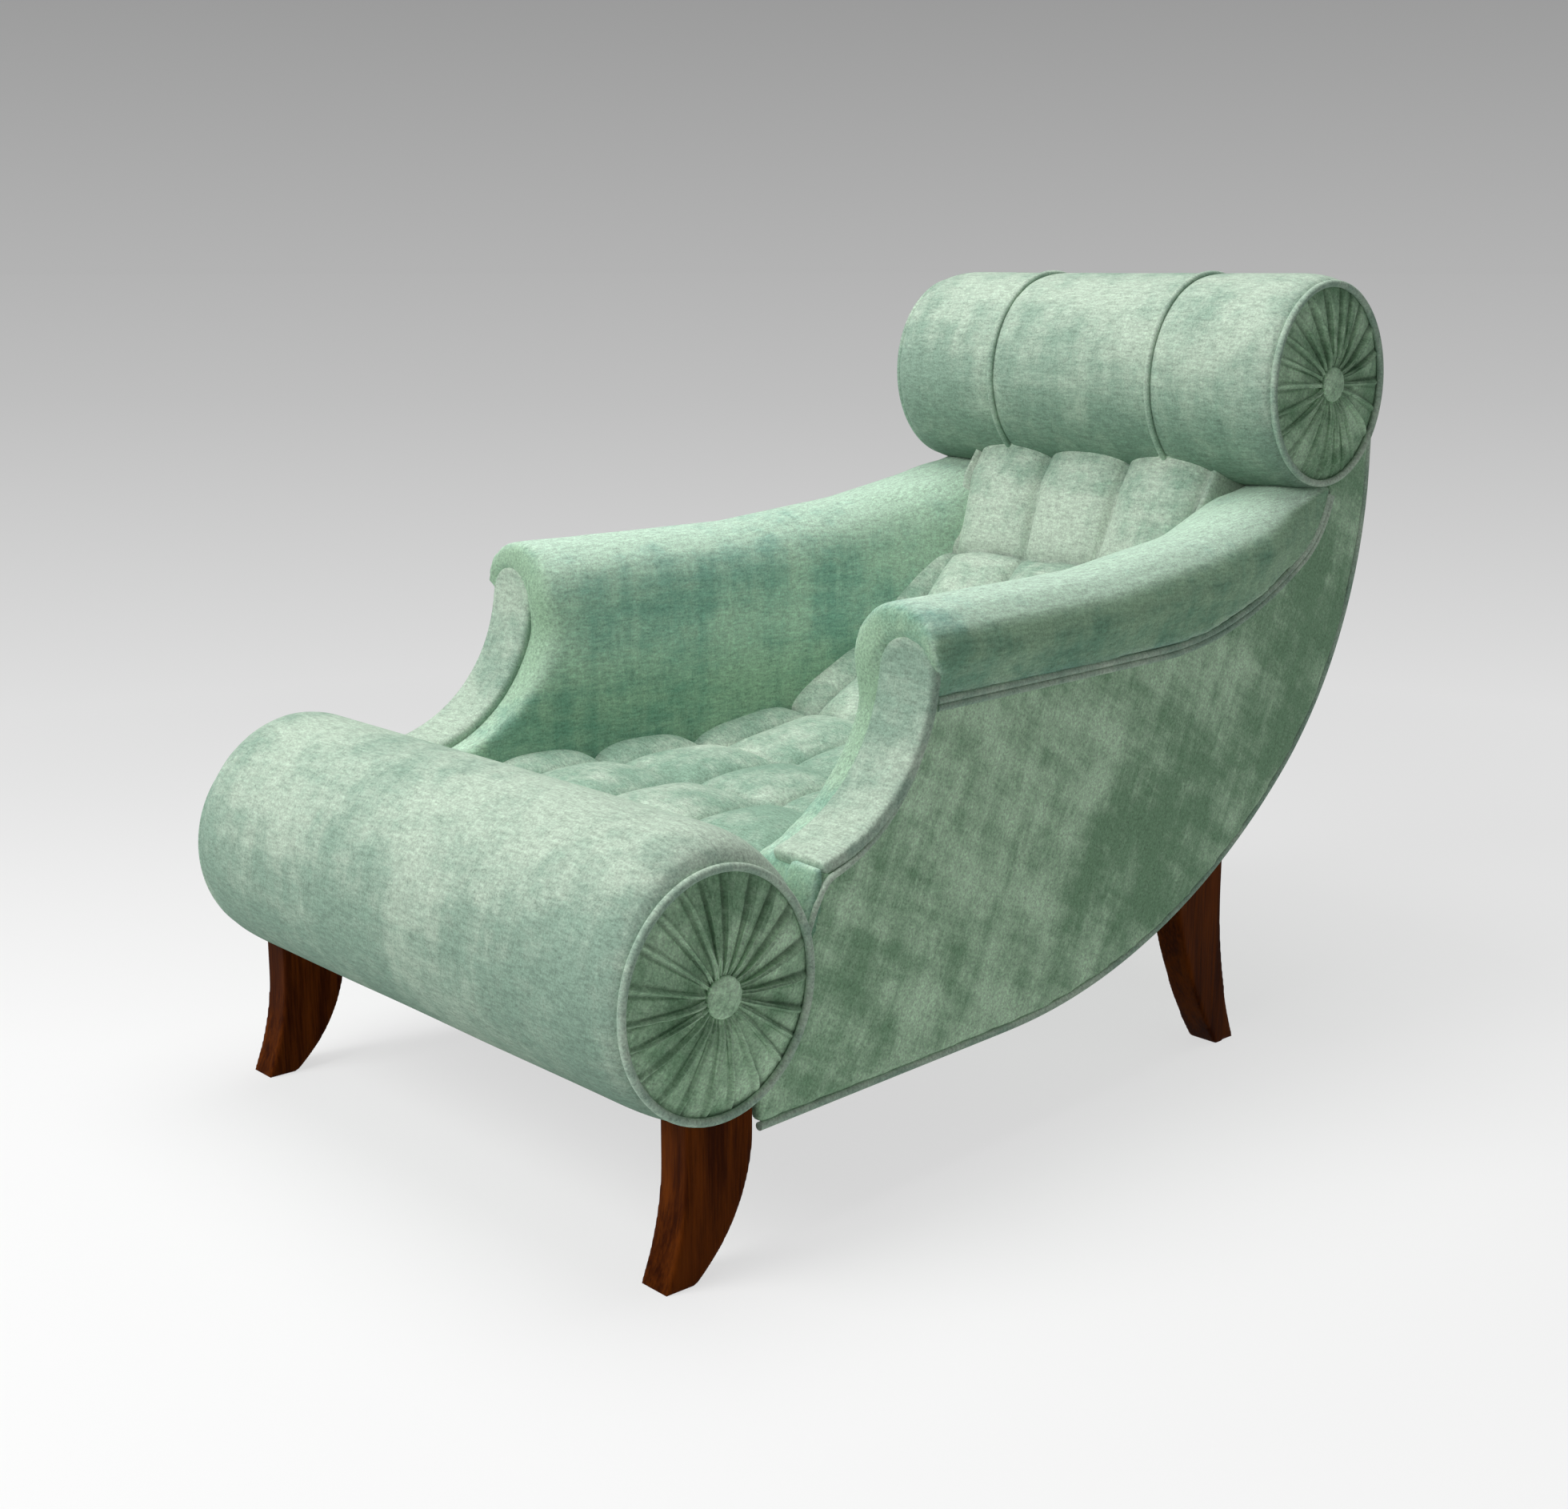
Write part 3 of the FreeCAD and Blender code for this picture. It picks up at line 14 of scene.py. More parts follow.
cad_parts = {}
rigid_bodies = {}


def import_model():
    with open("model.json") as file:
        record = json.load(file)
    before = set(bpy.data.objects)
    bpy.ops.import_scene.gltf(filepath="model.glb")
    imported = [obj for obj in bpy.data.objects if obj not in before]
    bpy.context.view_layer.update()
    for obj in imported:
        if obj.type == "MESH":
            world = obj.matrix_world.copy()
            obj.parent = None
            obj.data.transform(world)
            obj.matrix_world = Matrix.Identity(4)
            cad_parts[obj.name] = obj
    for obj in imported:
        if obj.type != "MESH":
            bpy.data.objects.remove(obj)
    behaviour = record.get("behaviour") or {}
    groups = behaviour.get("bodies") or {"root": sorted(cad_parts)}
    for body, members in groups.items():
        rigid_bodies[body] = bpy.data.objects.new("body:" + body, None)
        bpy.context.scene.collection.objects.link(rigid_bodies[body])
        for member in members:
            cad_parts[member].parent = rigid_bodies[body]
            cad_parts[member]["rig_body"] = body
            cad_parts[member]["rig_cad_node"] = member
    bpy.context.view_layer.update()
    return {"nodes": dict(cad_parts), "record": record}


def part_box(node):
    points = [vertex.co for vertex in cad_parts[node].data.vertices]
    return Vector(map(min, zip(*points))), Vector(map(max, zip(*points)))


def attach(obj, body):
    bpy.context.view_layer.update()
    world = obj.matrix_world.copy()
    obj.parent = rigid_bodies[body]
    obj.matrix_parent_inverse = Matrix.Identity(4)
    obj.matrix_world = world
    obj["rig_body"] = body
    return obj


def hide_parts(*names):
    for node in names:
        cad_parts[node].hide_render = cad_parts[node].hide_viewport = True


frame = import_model()
scene = bpy.context.scene
scene.view_settings.view_transform = "Standard"

# %% [markdown]
# ## The camera
# The picture was taken from the front right corner at about chair height, with a slightly long lens. The
# lens is given in millimetres on a 36 mm sensor, and the two angles turn the camera: tilt first, then
# azimuth.

# %% Camera
CAMERA_PLACE = (1.7021, -1.5942, 0.8608)
CAMERA_AZIMUTH = math.radians(48.27)
CAMERA_ELEVATION = math.radians(12.71)
LENS = 49.81
SENSOR_WIDTH = 36.0

bpy.ops.object.select_all(action="DESELECT")
bpy.ops.object.camera_add(location=CAMERA_PLACE,
                          rotation=(math.pi / 2 - CAMERA_ELEVATION, 0, CAMERA_AZIMUTH))
camera = bpy.context.object
camera.name = "studio_camera"
camera.data.lens = LENS
camera.data.sensor_width = SENSOR_WIDTH
camera.data.sensor_fit = "HORIZONTAL"
scene.camera = camera
print("camera:", [round(v, 3) for v in camera.location], "lens", LENS)

# %% [markdown]
# ## Helpers for node trees
# A finish is a small tree of nodes. Each helper adds one node and hands back its output, so that a finish
# reads like a sum. A value is a plain number or colour, or the output of another node.

# %% Node helpers
def feed(tree, socket, value):
    """Gives a socket a plain number or colour, or links it to another node's output."""
    if isinstance(value, (int, float, tuple)):
        socket.default_value = value
    else:
        tree.links.new(value, socket)


def node_math(tree, operation, *values):
    """A sum, product or the like of two or three values."""
    step = tree.nodes.new("ShaderNodeMath")
    step.operation = operation
    for socket, value in zip(step.inputs, values):
        feed(tree, socket, value)
    return step.outputs["Value"]


def node_vector(tree, operation, vector, other=(0, 0, 0)):
    """A number from one vector, or from a vector and a constant one."""
    step = tree.nodes.new("ShaderNodeVectorMath")
    step.operation = operation
    tree.links.new(vector, step.inputs[0])
    step.inputs[1].default_value = other
    return step.outputs["Value"]


def node_mix(tree, factor, first, second, blend="MIX"):
    """Two colours mixed by a factor."""
    mix = tree.nodes.new("ShaderNodeMix")
    mix.data_type = "RGBA"
    mix.blend_type = blend
    for label, value in (("Factor", factor), ("A", first), ("B", second)):
        feed(tree, mix.inputs[label], value)
    return mix.outputs["Result"]


def weighted(tree, first, first_share, second, second_share):
    """Two values added, each by its share."""
    return node_math(tree, "ADD", node_math(tree, "MULTIPLY", first, first_share),
                     node_math(tree, "MULTIPLY", second, second_share))


def new_finish(name):
    """A new material, its node tree and its Principled shader."""
    finish = bpy.data.materials.new(name)
    finish.use_nodes = True
    return finish, finish.node_tree, finish.node_tree.nodes["Principled BSDF"]


print("node helpers: feed, maths, vector, mix, weighted, new finish")

# %% [markdown]
# ## Light and floor
# A studio sweep: a big soft lamp in front, above and to the left, a weaker one overhead, and a dim world
# for the rest. The world shows the camera a backdrop that darkens upwards. The floor keeps the chair's
# shadow, and shows the camera a share of its own paleness, which turns grey far away, so floor and backdrop
# meet without a line.

# %% World
AIR_STRENGTH = 0.205
HORIZON_GREY = 0.45
TOP_GREY = 0.33
BACKDROP_RISE = 0.113


def seen_ray(tree):
    """1 for rays from the camera, and for those that glossy or clear things send on."""
    rays = tree.nodes.new("ShaderNodeLightPath")
    total = rays.outputs["Is Camera Ray"]
    for kind in ("Is Glossy Ray", "Is Transmission Ray"):
        total = node_math(tree, "MAXIMUM", total, rays.outputs[kind])
    return total


def grey_ramp(tree, value, stops):
    """Greys at the given places of a value from 0 to 1."""
    ramp = tree.nodes.new("ShaderNodeValToRGB")
    for number, (spot, grey) in enumerate(stops):
        if number < 2:
            stop = ramp.color_ramp.elements[number]
            stop.position = spot
        else:
            stop = ramp.color_ramp.elements.new(spot)
        stop.color = (grey, grey, grey, 1)
    tree.links.new(value, ramp.inputs["Fac"])
    return ramp.outputs["Color"]


def blend_shaders(tree, factor, first, second, surface):
    """Mixes two shaders by a factor and sends the mix to a surface socket."""
    mix = tree.nodes.new("ShaderNodeMixShader")
    tree.links.new(factor, mix.inputs["Fac"])
    tree.links.new(first, mix.inputs[1])
    tree.links.new(second, mix.inputs[2])
    tree.links.new(mix.outputs["Shader"], surface)


world = bpy.data.worlds.new("studio_air")
scene.world = world
world.use_nodes = True
sky = world.node_tree
air = sky.nodes["Background"]
air.inputs["Color"].default_value = (1.0, 1.0, 1.0, 1)
air.inputs["Strength"].default_value = AIR_STRENGTH
direction = sky.nodes.new("ShaderNodeTexCoord")
parts = sky.nodes.new("ShaderNodeSeparateXYZ")
rise = sky.nodes.new("ShaderNodeMapRange")
rise.inputs["From Max"].default_value = BACKDROP_RISE
backdrop = sky.nodes.new("ShaderNodeBackground")
sky.links.new(direction.outputs["Generated"], parts.inputs["Vector"])
sky.links.new(parts.outputs["Z"], rise.inputs["Value"])
sky.links.new(grey_ramp(sky, rise.outputs["Result"], ((0, HORIZON_GREY), (1, TOP_GREY))),
              backdrop.inputs["Color"])
blend_shaders(sky, seen_ray(sky), air.outputs["Background"], backdrop.outputs["Background"],
              sky.nodes["World Output"].inputs["Surface"])
print("world:", world.name, "strength", AIR_STRENGTH)

# %% Lamps
LAMP_AIM = Vector((0.0, 0.0, 0.4))
LAMPS = {  # place and diameter in metres, power in watts
    "key_lamp": ((-0.5, -2.6, 2.4), 1.8, 61),
    "top_lamp": ((-0.3, 0.0, 3.0), 2.4, 47),
}

for name, (place, diameter, power) in LAMPS.items():
    bpy.ops.object.light_add(type="AREA", location=place)
    lamp = bpy.context.object
    lamp.name = name
    lamp.data.shape = "DISK"
    lamp.data.size = diameter
    lamp.data.energy = power
    lamp.rotation_euler = (LAMP_AIM - Vector(place)).to_track_quat("-Z", "Y").to_euler()
print("lamps:", list(LAMPS))

# %% Floor
FLOOR_WIDTH = 400
FLOOR_COLOUR = (0.86, 0.86, 0.86, 1)
NEAREST_SLOPE = 0.6224  # of the sight line at the picture's lower edge
FLOOR_GREYS = ((0, HORIZON_GREY), (1, 1.0), (0.096, 0.52), (0.336, 0.75), (0.462, 0.87), (0.6, 0.97))
SHADOW_NEAR, SHADOW_FAR = 0.9, 2.4
SHOWN_SHARE = 0.66

bpy.ops.object.select_all(action="DESELECT")
bpy.ops.mesh.primitive_grid_add(x_subdivisions=8, y_subdivisions=8, size=FLOOR_WIDTH)
floor = bpy.context.object
floor.name = "studio_floor"
floor_finish, floor_tree, floor_shader = new_finish("pale_floor")
floor_shader.inputs["Base Color"].default_value = FLOOR_COLOUR
floor_shader.inputs["Roughness"].default_value = 0.95
floor_shader.inputs["Specular IOR Level"].default_value = 0.0
where = floor_tree.nodes.new("ShaderNodeTexCoord").outputs["Object"]
view_way = (-math.sin(CAMERA_AZIMUTH), math.cos(CAMERA_AZIMUTH), 0)
camera_back = -(CAMERA_PLACE[0] * view_way[0] + CAMERA_PLACE[1] * view_way[1])
ahead = node_math(floor_tree, "ADD", node_vector(floor_tree, "DOT_PRODUCT", where, view_way), camera_back)
nearness = node_math(floor_tree, "DIVIDE", CAMERA_PLACE[2] / NEAREST_SLOPE,
                     node_math(floor_tree, "ABSOLUTE", ahead))
fade = floor_tree.nodes.new("ShaderNodeMapRange")
fade.inputs["From Min"].default_value = SHADOW_NEAR
fade.inputs["From Max"].default_value = SHADOW_FAR
fade.inputs["To Min"].default_value = SHOWN_SHARE
fade.inputs["To Max"].default_value = 1.0
floor_tree.links.new(node_vector(floor_tree, "LENGTH", where), fade.inputs["Value"])
shown = floor_tree.nodes.new("ShaderNodeEmission")
floor_tree.links.new(grey_ramp(floor_tree, nearness, FLOOR_GREYS), shown.inputs["Color"])
shown_share = node_math(floor_tree, "MULTIPLY", fade.outputs["Result"], seen_ray(floor_tree))
blend_shaders(floor_tree, shown_share, floor_shader.outputs["BSDF"], shown.outputs["Emission"],
              floor_tree.nodes["Material Output"].inputs["Surface"])
floor.data.materials.append(floor_finish)
print("floor:", floor.name)

# %% [markdown]
# ## The velvet
# Worn velvet isn't one colour: the pile leans different ways, so pale sage and darker teal patches lie next
# to each other, drawn out along the weave. One node group makes that mottle and the fine pile, and each
# velvet material places it with its own values. Sheen on the shader gives the pale edge that pile has.
# On top of that, painted light makes the velvet paler where it faces up, painted shade dims it where it is
# marked as shaded, and a greener copy of the velvet paints the shade on the sides.

# %% Texture helpers
def node_noise(tree, vector, scale, detail, roughness, stretch=None):
    """A noise texture in a node tree, drawn out by a stretch if one is given."""
    texture = tree.nodes.new("ShaderNodeTexNoise")
    texture.inputs["Scale"].default_value = scale
    texture.inputs["Detail"].default_value = detail
    texture.inputs["Roughness"].default_value = roughness
    if stretch:
        mapping = tree.nodes.new("ShaderNodeMapping")
        mapping.inputs["Scale"].default_value = stretch
        tree.links.new(vector, mapping.inputs["Vector"])
        vector = mapping.outputs["Vector"]
    tree.links.new(vector, texture.inputs["Vector"])
    return texture.outputs["Fac"]


def node_range(tree, value, low, high):
    """A value stretched between two limits to 0 and 1, with soft ends."""
    ramp = tree.nodes.new("ShaderNodeMapRange")
    ramp.interpolation_type = "SMOOTHSTEP"
    ramp.inputs["From Min"].default_value = low
    ramp.inputs["From Max"].default_value = high
    tree.links.new(value, ramp.inputs["Value"])
    return ramp.outputs["Result"]


def node_share(tree, name):
    """The share from 0 to 1 that is stored at the points of a piece."""
    reader = tree.nodes.new("ShaderNodeAttribute")
    reader.attribute_name = name
    return reader.outputs["Fac"]


def relief(tree, shader, height, strength, distance):
    """Fine relief on a surface, from a height."""
    bump = tree.nodes.new("ShaderNodeBump")
    bump.inputs["Strength"].default_value = strength
    bump.inputs["Distance"].default_value = distance
    tree.links.new(height, bump.inputs["Height"])
    tree.links.new(bump.outputs["Normal"], shader.inputs["Normal"])


def new_group(name, **inputs):
    """A node group with the given inputs that puts out a colour, a roughness and a height."""
    group = bpy.data.node_groups.new(name, "ShaderNodeTree")
    for label, kind in inputs.items():
        group.interface.new_socket(label, in_out="INPUT", socket_type=f"NodeSocket{kind}")
    for label, kind in (("Colour", "Color"), ("Roughness", "Float"), ("Height", "Float")):
        group.interface.new_socket(label, in_out="OUTPUT", socket_type=f"NodeSocket{kind}")
    return group, group.nodes.new("NodeGroupInput").outputs, group.nodes.new("NodeGroupOutput").inputs


print("texture helpers: noise, range, share, relief, new group")

# %% Velvet group
CLOTH_TEXTURES = (  # scale, detail, roughness and, where the pattern is drawn out, its stretch
    (5.0, 5.0, 0.6),  # clouds of leaning pile
    (30.0, 4.0, 0.7, (1.0, 1.0, 0.2)),  # upright streaks
    (30.0, 4.0, 0.7, (0.28, 0.28, 1.3)),  # level streaks
    (320.0, 4.0, 0.65, (0.28, 1.0, 1.0)),  # warp threads
    (260.0, 4.0, 0.65, (1.0, 0.7, 0.35)),  # weft threads
    (520.0, 3.0, 0.6),  # single tufts of pile
)
CLOUD_SHARE, UPRIGHT_SHARE, LEVEL_SHARE = 0.48, 0.27, 0.25
WARP_SHARE, WEFT_SHARE, PILE_SHARE = 0.44, 0.16, 0.40
PATCH_LOW, PATCH_HIGH = 0.42, 0.60
NAP_CONTRAST, NAP_DARK = 2.6, -0.3

velvet_group, group_in, group_out = new_group(
    "velvet_pile", Vector="Vector", Pale="Color", Teal="Color", Lean="Float")
cloud, upright, level, warp, weft, pile = (
    node_noise(velvet_group, group_in["Vector"], *texture) for texture in CLOTH_TEXTURES)
streaks = weighted(velvet_group, upright, UPRIGHT_SHARE, level, LEVEL_SHARE)
mottle = node_math(velvet_group, "MULTIPLY_ADD", cloud, CLOUD_SHARE, streaks)
# the lean input also carries the painted top light, which pales the mottle where the velvet faces up
leaning_with_top_light = node_math(velvet_group, "ADD", mottle, group_in["Lean"])
patch = node_range(velvet_group, leaning_with_top_light, PATCH_LOW, PATCH_HIGH)
threads = weighted(velvet_group, warp, WARP_SHARE, weft, WEFT_SHARE)
nap = node_math(velvet_group, "MULTIPLY_ADD", pile, PILE_SHARE, threads)
nap_light = node_math(velvet_group, "MULTIPLY_ADD", nap, NAP_CONTRAST, NAP_DARK)
patch_colour = node_mix(velvet_group, patch, group_in["Teal"], group_in["Pale"])
velvet_group.links.new(node_mix(velvet_group, 1.0, patch_colour, nap_light, "MULTIPLY"), group_out["Colour"])
velvet_group.links.new(node_math(velvet_group, "MULTIPLY_ADD", patch, -0.12, 0.92), group_out["Roughness"])
velvet_group.links.new(node_math(velvet_group, "MULTIPLY_ADD", nap, 0.5, streaks), group_out["Height"])
print("velvet group:", len(velvet_group.nodes), "nodes")

# %% Velvet materials
PALE_SAGE = (0.475, 0.585, 0.475, 1)
DEEP_TEAL = (0.275, 0.40, 0.315, 1)
PAD_SAGE = (0.54, 0.64, 0.53, 1)
PAD_TEAL = (0.265, 0.405, 0.31, 1)
ARM_SAGE = (0.56, 0.74, 0.60, 1)
ARM_TEAL = (0.30, 0.515, 0.43, 1)
# painted shade: a greener pair of colours for the velvet on the sides, which lie in shade
SHADED_SAGE = (0.55, 0.77, 0.55, 1)
SHADED_GREEN = (0.21, 0.37, 0.225, 1)
FULL_LIGHT = (1.0, 1.0, 1.0, 1)
HALF_LIGHT = (0.5, 0.5, 0.5, 1)
ROLL_SHADE = (0.44, 0.52, 0.48, 1)
ARM_SHADE = (0.52, 0.62, 0.50, 1)
NAP_HEIGHT = 0.002
SHEEN_TINT = (0.66, 0.88, 0.76, 1)


def velvet(name, pale, deep, lean, nap_relief, painted_top_light=0.0, shade=HALF_LIGHT, turn=(0, 0, 0)):
    """Velvet with painted light, paler where its points are marked as lit from above, and with painted
    shade, dimmed to `shade` where they are marked as shaded.
    """
    finish, tree, shader = new_finish(name)
    spot = tree.nodes.new("ShaderNodeTexCoord")
    mapping = tree.nodes.new("ShaderNodeMapping")
    mapping.inputs["Rotation"].default_value = turn
    cloth = tree.nodes.new("ShaderNodeGroup")
    cloth.node_tree = velvet_group
    cloth.inputs["Pale"].default_value = pale
    cloth.inputs["Teal"].default_value = deep
    tree.links.new(spot.outputs["Object"], mapping.inputs["Vector"])
    tree.links.new(mapping.outputs["Vector"], cloth.inputs["Vector"])
    # painted top light: the mottle turns paler by the given share where the points are marked as lit
    leaning_with_top_light = node_math(tree, "MULTIPLY_ADD", node_share(tree, "painted_light_share"), painted_top_light, lean)
    tree.links.new(leaning_with_top_light, cloth.inputs["Lean"])
    dimming = node_mix(tree, node_share(tree, "shaded"), FULL_LIGHT, shade)
    colour = node_mix(tree, 1.0, cloth.outputs["Colour"], dimming, "MULTIPLY")
    tree.links.new(colour, shader.inputs["Base Color"])
    tree.links.new(cloth.outputs["Roughness"], shader.inputs["Roughness"])
    relief(tree, shader, cloth.outputs["Height"], nap_relief, NAP_HEIGHT)
    shader.inputs["Specular IOR Level"].default_value = 0.12
    shader.inputs["Sheen Weight"].default_value = 0.18
    shader.inputs["Sheen Roughness"].default_value = 0.5
    shader.inputs["Sheen Tint"].default_value = SHEEN_TINT
    return finish


main_velvet = velvet("sage_velvet", PALE_SAGE, DEEP_TEAL, -0.02, 0.6, 0.08, ROLL_SHADE)
pad_velvet = velvet("pad_velvet", PAD_SAGE, PAD_TEAL, 0.08, 0.7, -0.10)
arm_velvet = velvet("arm_velvet", ARM_SAGE, ARM_TEAL, 0.0, 0.7, 0.12, ARM_SHADE, (0, 0, math.pi / 2))
# painted shade: a greener copy of the sage velvet for the sides, end discs, buttons and back
shaded_side_velvet = velvet("shaded_side_velvet", SHADED_SAGE, SHADED_GREEN, 0.0, 0.7, turn=(0.5, 0, 0))
print("velvet:", main_velvet.name, pad_velvet.name, arm_velvet.name, shaded_side_velvet.name)

# %% [markdown]
# ## Wood
# The legs are dark stained, with long grain down the leg, a little red in the stain, and pale worn arrises
# where the polish has rubbed through. The frame inside is plain pale beech, which uses the same grain.

# %% Wood group and materials
RINGS = (18.0, 4.0, 0.6, (2.2, 2.2, 0.25))
PORES = (160.0, 4.0, 0.65, (2.0, 2.0, 0.09))
GRAIN_LOW, GRAIN_HIGH = 0.36, 0.64
STAIN_LIGHT, STAIN_DARK = (0.125, 0.029, 0.003, 1), (0.034, 0.0065, 0.001, 1)
STAIN_WORN = (0.30, 0.115, 0.03, 1)
BEECH_LIGHT, BEECH_DARK = (0.5, 0.34, 0.2, 1), (0.36, 0.23, 0.13, 1)

grain_group, group_in, group_out = new_group("long_grain", Vector="Vector", Light="Color", Dark="Color")
rings = node_noise(grain_group, group_in["Vector"], *RINGS)
pores = node_noise(grain_group, group_in["Vector"], *PORES)
bands = node_range(grain_group, weighted(grain_group, rings, 0.6, pores, 0.4), GRAIN_LOW, GRAIN_HIGH)
grain_group.links.new(node_mix(grain_group, bands, group_in["Dark"], group_in["Light"]), group_out["Colour"])
grain_group.links.new(node_math(grain_group, "MULTIPLY_ADD", pores, 0.3, 0.4), group_out["Roughness"])
grain_group.links.new(pores, group_out["Height"])


def wood(name, light, dark, worn=None):
    """Wood with long grain, and with a paler colour where it is marked as rubbed."""
    finish, tree, shader = new_finish(name)
    spot = tree.nodes.new("ShaderNodeTexCoord")
    plank = tree.nodes.new("ShaderNodeGroup")
    plank.node_tree = grain_group
    plank.inputs["Light"].default_value = light
    plank.inputs["Dark"].default_value = dark
    tree.links.new(spot.outputs["Object"], plank.inputs["Vector"])
    colour = plank.outputs["Colour"]
    if worn:
        colour = node_mix(tree, node_share(tree, "rubbed"), colour, worn)
    tree.links.new(colour, shader.inputs["Base Color"])
    tree.links.new(plank.outputs["Roughness"], shader.inputs["Roughness"])
    relief(tree, shader, plank.outputs["Height"], 0.25, 0.0008)
    shader.inputs["Specular IOR Level"].default_value = 0.02
    return finish


leg_wood = wood("dark_stained_oak", STAIN_LIGHT, STAIN_DARK, STAIN_WORN)
frame_wood = wood("plain_beech", BEECH_LIGHT, BEECH_DARK)
print("wood:", leg_wood.name, frame_wood.name)

# %% [markdown]
# ## Inner materials
# Webbing, canvas, felt and springs hide inside the chair. One coarse weave with other colours and scales is
# enough for them. Every CAD node gets the finish of its slot here, and the dressed pieces replace most of
# them below.

# %% Plain inner materials
def plain_weave(name, light, dark, scale):
    """A coarse woven surface for webbing, canvas and stuffing."""
    finish, tree, shader = new_finish(name)
    spot = tree.nodes.new("ShaderNodeTexCoord")
    fibre = node_noise(tree, spot.outputs["Object"], scale, 4.0, 0.6)
    colour = node_mix(tree, node_range(tree, fibre, 0.3, 0.7), dark, light)
    tree.links.new(colour, shader.inputs["Base Color"])
    relief(tree, shader, fibre, 0.4, 0.001)
    shader.inputs["Roughness"].default_value = 0.95
    return finish


jute = plain_weave("jute_webbing", (0.5, 0.4, 0.26, 1), (0.34, 0.26, 0.16, 1), 300)
black_cambric = plain_weave("dark_cambric", (0.06, 0.058, 0.055, 1), (0.03, 0.03, 0.03, 1), 500)
felt = plain_weave("cotton_felt", (0.7, 0.64, 0.52, 1), (0.56, 0.5, 0.4, 1), 120)
spring_steel = plain_weave("spring_steel", (0.4, 0.4, 0.4, 1), (0.25, 0.25, 0.25, 1), 90)
steel_shader = spring_steel.node_tree.nodes["Principled BSDF"]
steel_shader.inputs["Metallic"].default_value = 1.0
steel_shader.inputs["Roughness"].default_value = 0.45
finish_of_slot = {"velvet": main_velvet, "leg_wood": leg_wood, "frame_wood": frame_wood, "filling": felt,
                  "canvas": black_cambric, "webbing": jute, "steel": spring_steel}
for part in frame["record"]["subparts"]:
    shell = frame["nodes"][part["node"]]
    shell.data.materials.clear()
    shell.data.materials.append(finish_of_slot[part["material_slot"]])

# %% [markdown]
# ## Helpers for soft pieces
# A soft piece starts as a primitive, or as a copy of the CAD solid that it dresses, remeshed into even
# small quads. `press` then moves every point by a rule in plain numbers, as a sculptor's thumb would, and
# `mark` stores a share at each point, which the piece's material reads.

# %% Helpers for whole pieces
MERGE_DISTANCE = 0.00002


def only(piece):
    """Makes a piece the one selected and active object."""
    bpy.ops.object.select_all(action="DESELECT")
    piece.select_set(True)
    bpy.context.view_layer.objects.active = piece


def bake(piece, kind, **settings):
    """Adds a modifier and applies it."""
    only(piece)
    modifier = piece.modifiers.new(kind.lower(), kind)
    for key, value in settings.items():
        setattr(modifier, key, value)
    bpy.ops.object.modifier_apply(modifier=modifier.name)


def edit_all(piece, operator, **settings):
    """Runs one edit-mode operator on the whole of a piece."""
    only(piece)
    bpy.ops.object.mode_set(mode="EDIT")
    bpy.ops.mesh.select_all(action="SELECT")
    operator(**settings)
    bpy.ops.object.mode_set(mode="OBJECT")


def copy_solid(node, name):
    """A free copy of a CAD node with its loose triangles merged."""
    source = frame["nodes"][node]
    piece = source.copy()
    piece.data = source.data.copy()
    piece.name = name
    piece.parent = None
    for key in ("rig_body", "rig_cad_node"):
        if key in piece:
            del piece[key]
    bpy.context.collection.objects.link(piece)
    edit_all(piece, bpy.ops.mesh.remove_doubles, threshold=MERGE_DISTANCE)
    edit_all(piece, bpy.ops.mesh.normals_make_consistent, inside=False)
    return piece


print("piece helpers: only, bake, edit all, copy solid")

# %% Helpers for points
def points_of(piece):
    """The places of a piece's points, as rows of x, y and z."""
    grid = np.empty(len(piece.data.vertices) * 3)
    piece.data.vertices.foreach_get("co", grid)
    return grid.reshape(-1, 3)


def normals_of(piece):
    """The outward way at each point of a piece."""
    grid = np.empty(len(piece.data.vertices) * 3)
    piece.data.vertex_normals.foreach_get("vector", grid)
    return grid.reshape(-1, 3)


def press(piece, places):
    """Writes new places to the points of a piece."""
    piece.data.vertices.foreach_set("co", np.asarray(places, dtype=np.float64).ravel())
    piece.data.update()


def ripple(places, scale, seed=0.0):
    """Smooth noise from -1 to 1 at each place."""
    return np.array([noise.noise(Vector((x * scale + seed, y * scale, z * scale))) for x, y, z in places])


def step_up(value, low, high):
    """A smooth step from 0 to 1 between two values."""
    share = np.clip((value - low) / (high - low), 0, 1)
    return share * share * (3 - 2 * share)


def mark(piece, name, values):
    """Stores a share from 0 to 1 at each point of a piece, for its material to read."""
    shares = np.clip(values, 0, 1).astype(np.float32)
    piece.data.attributes.new(name, "FLOAT", "POINT").data.foreach_set("value", shares)


def dress(piece, finish, slot, *nodes, fill=None):
    """Finishes a piece: smooth shading, material, and its place on the frame."""
    only(piece)
    bpy.ops.object.shade_smooth()
    piece.data.materials.clear()
    piece.data.materials.append(finish)
    # painted top light: each velvet piece is marked to turn paler where it faces up
    if slot == "velvet" and "painted_light_share" not in piece.data.attributes:
        mark(piece, "painted_light_share", normals_of(piece)[:, 2])
    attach(piece, "root")
    if nodes:
        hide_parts(*nodes)
    print(piece.name, len(piece.data.polygons), "faces")
    return piece


print("point helpers: points, normals, press, ripple, step up, mark, dress")

# %% [markdown]
# ## Driving sizes
# The same few sizes as in the CAD source, in metres, with depth measured in the frame: the two roll axes,
# their oval sections, and how the sides run inwards to the back.

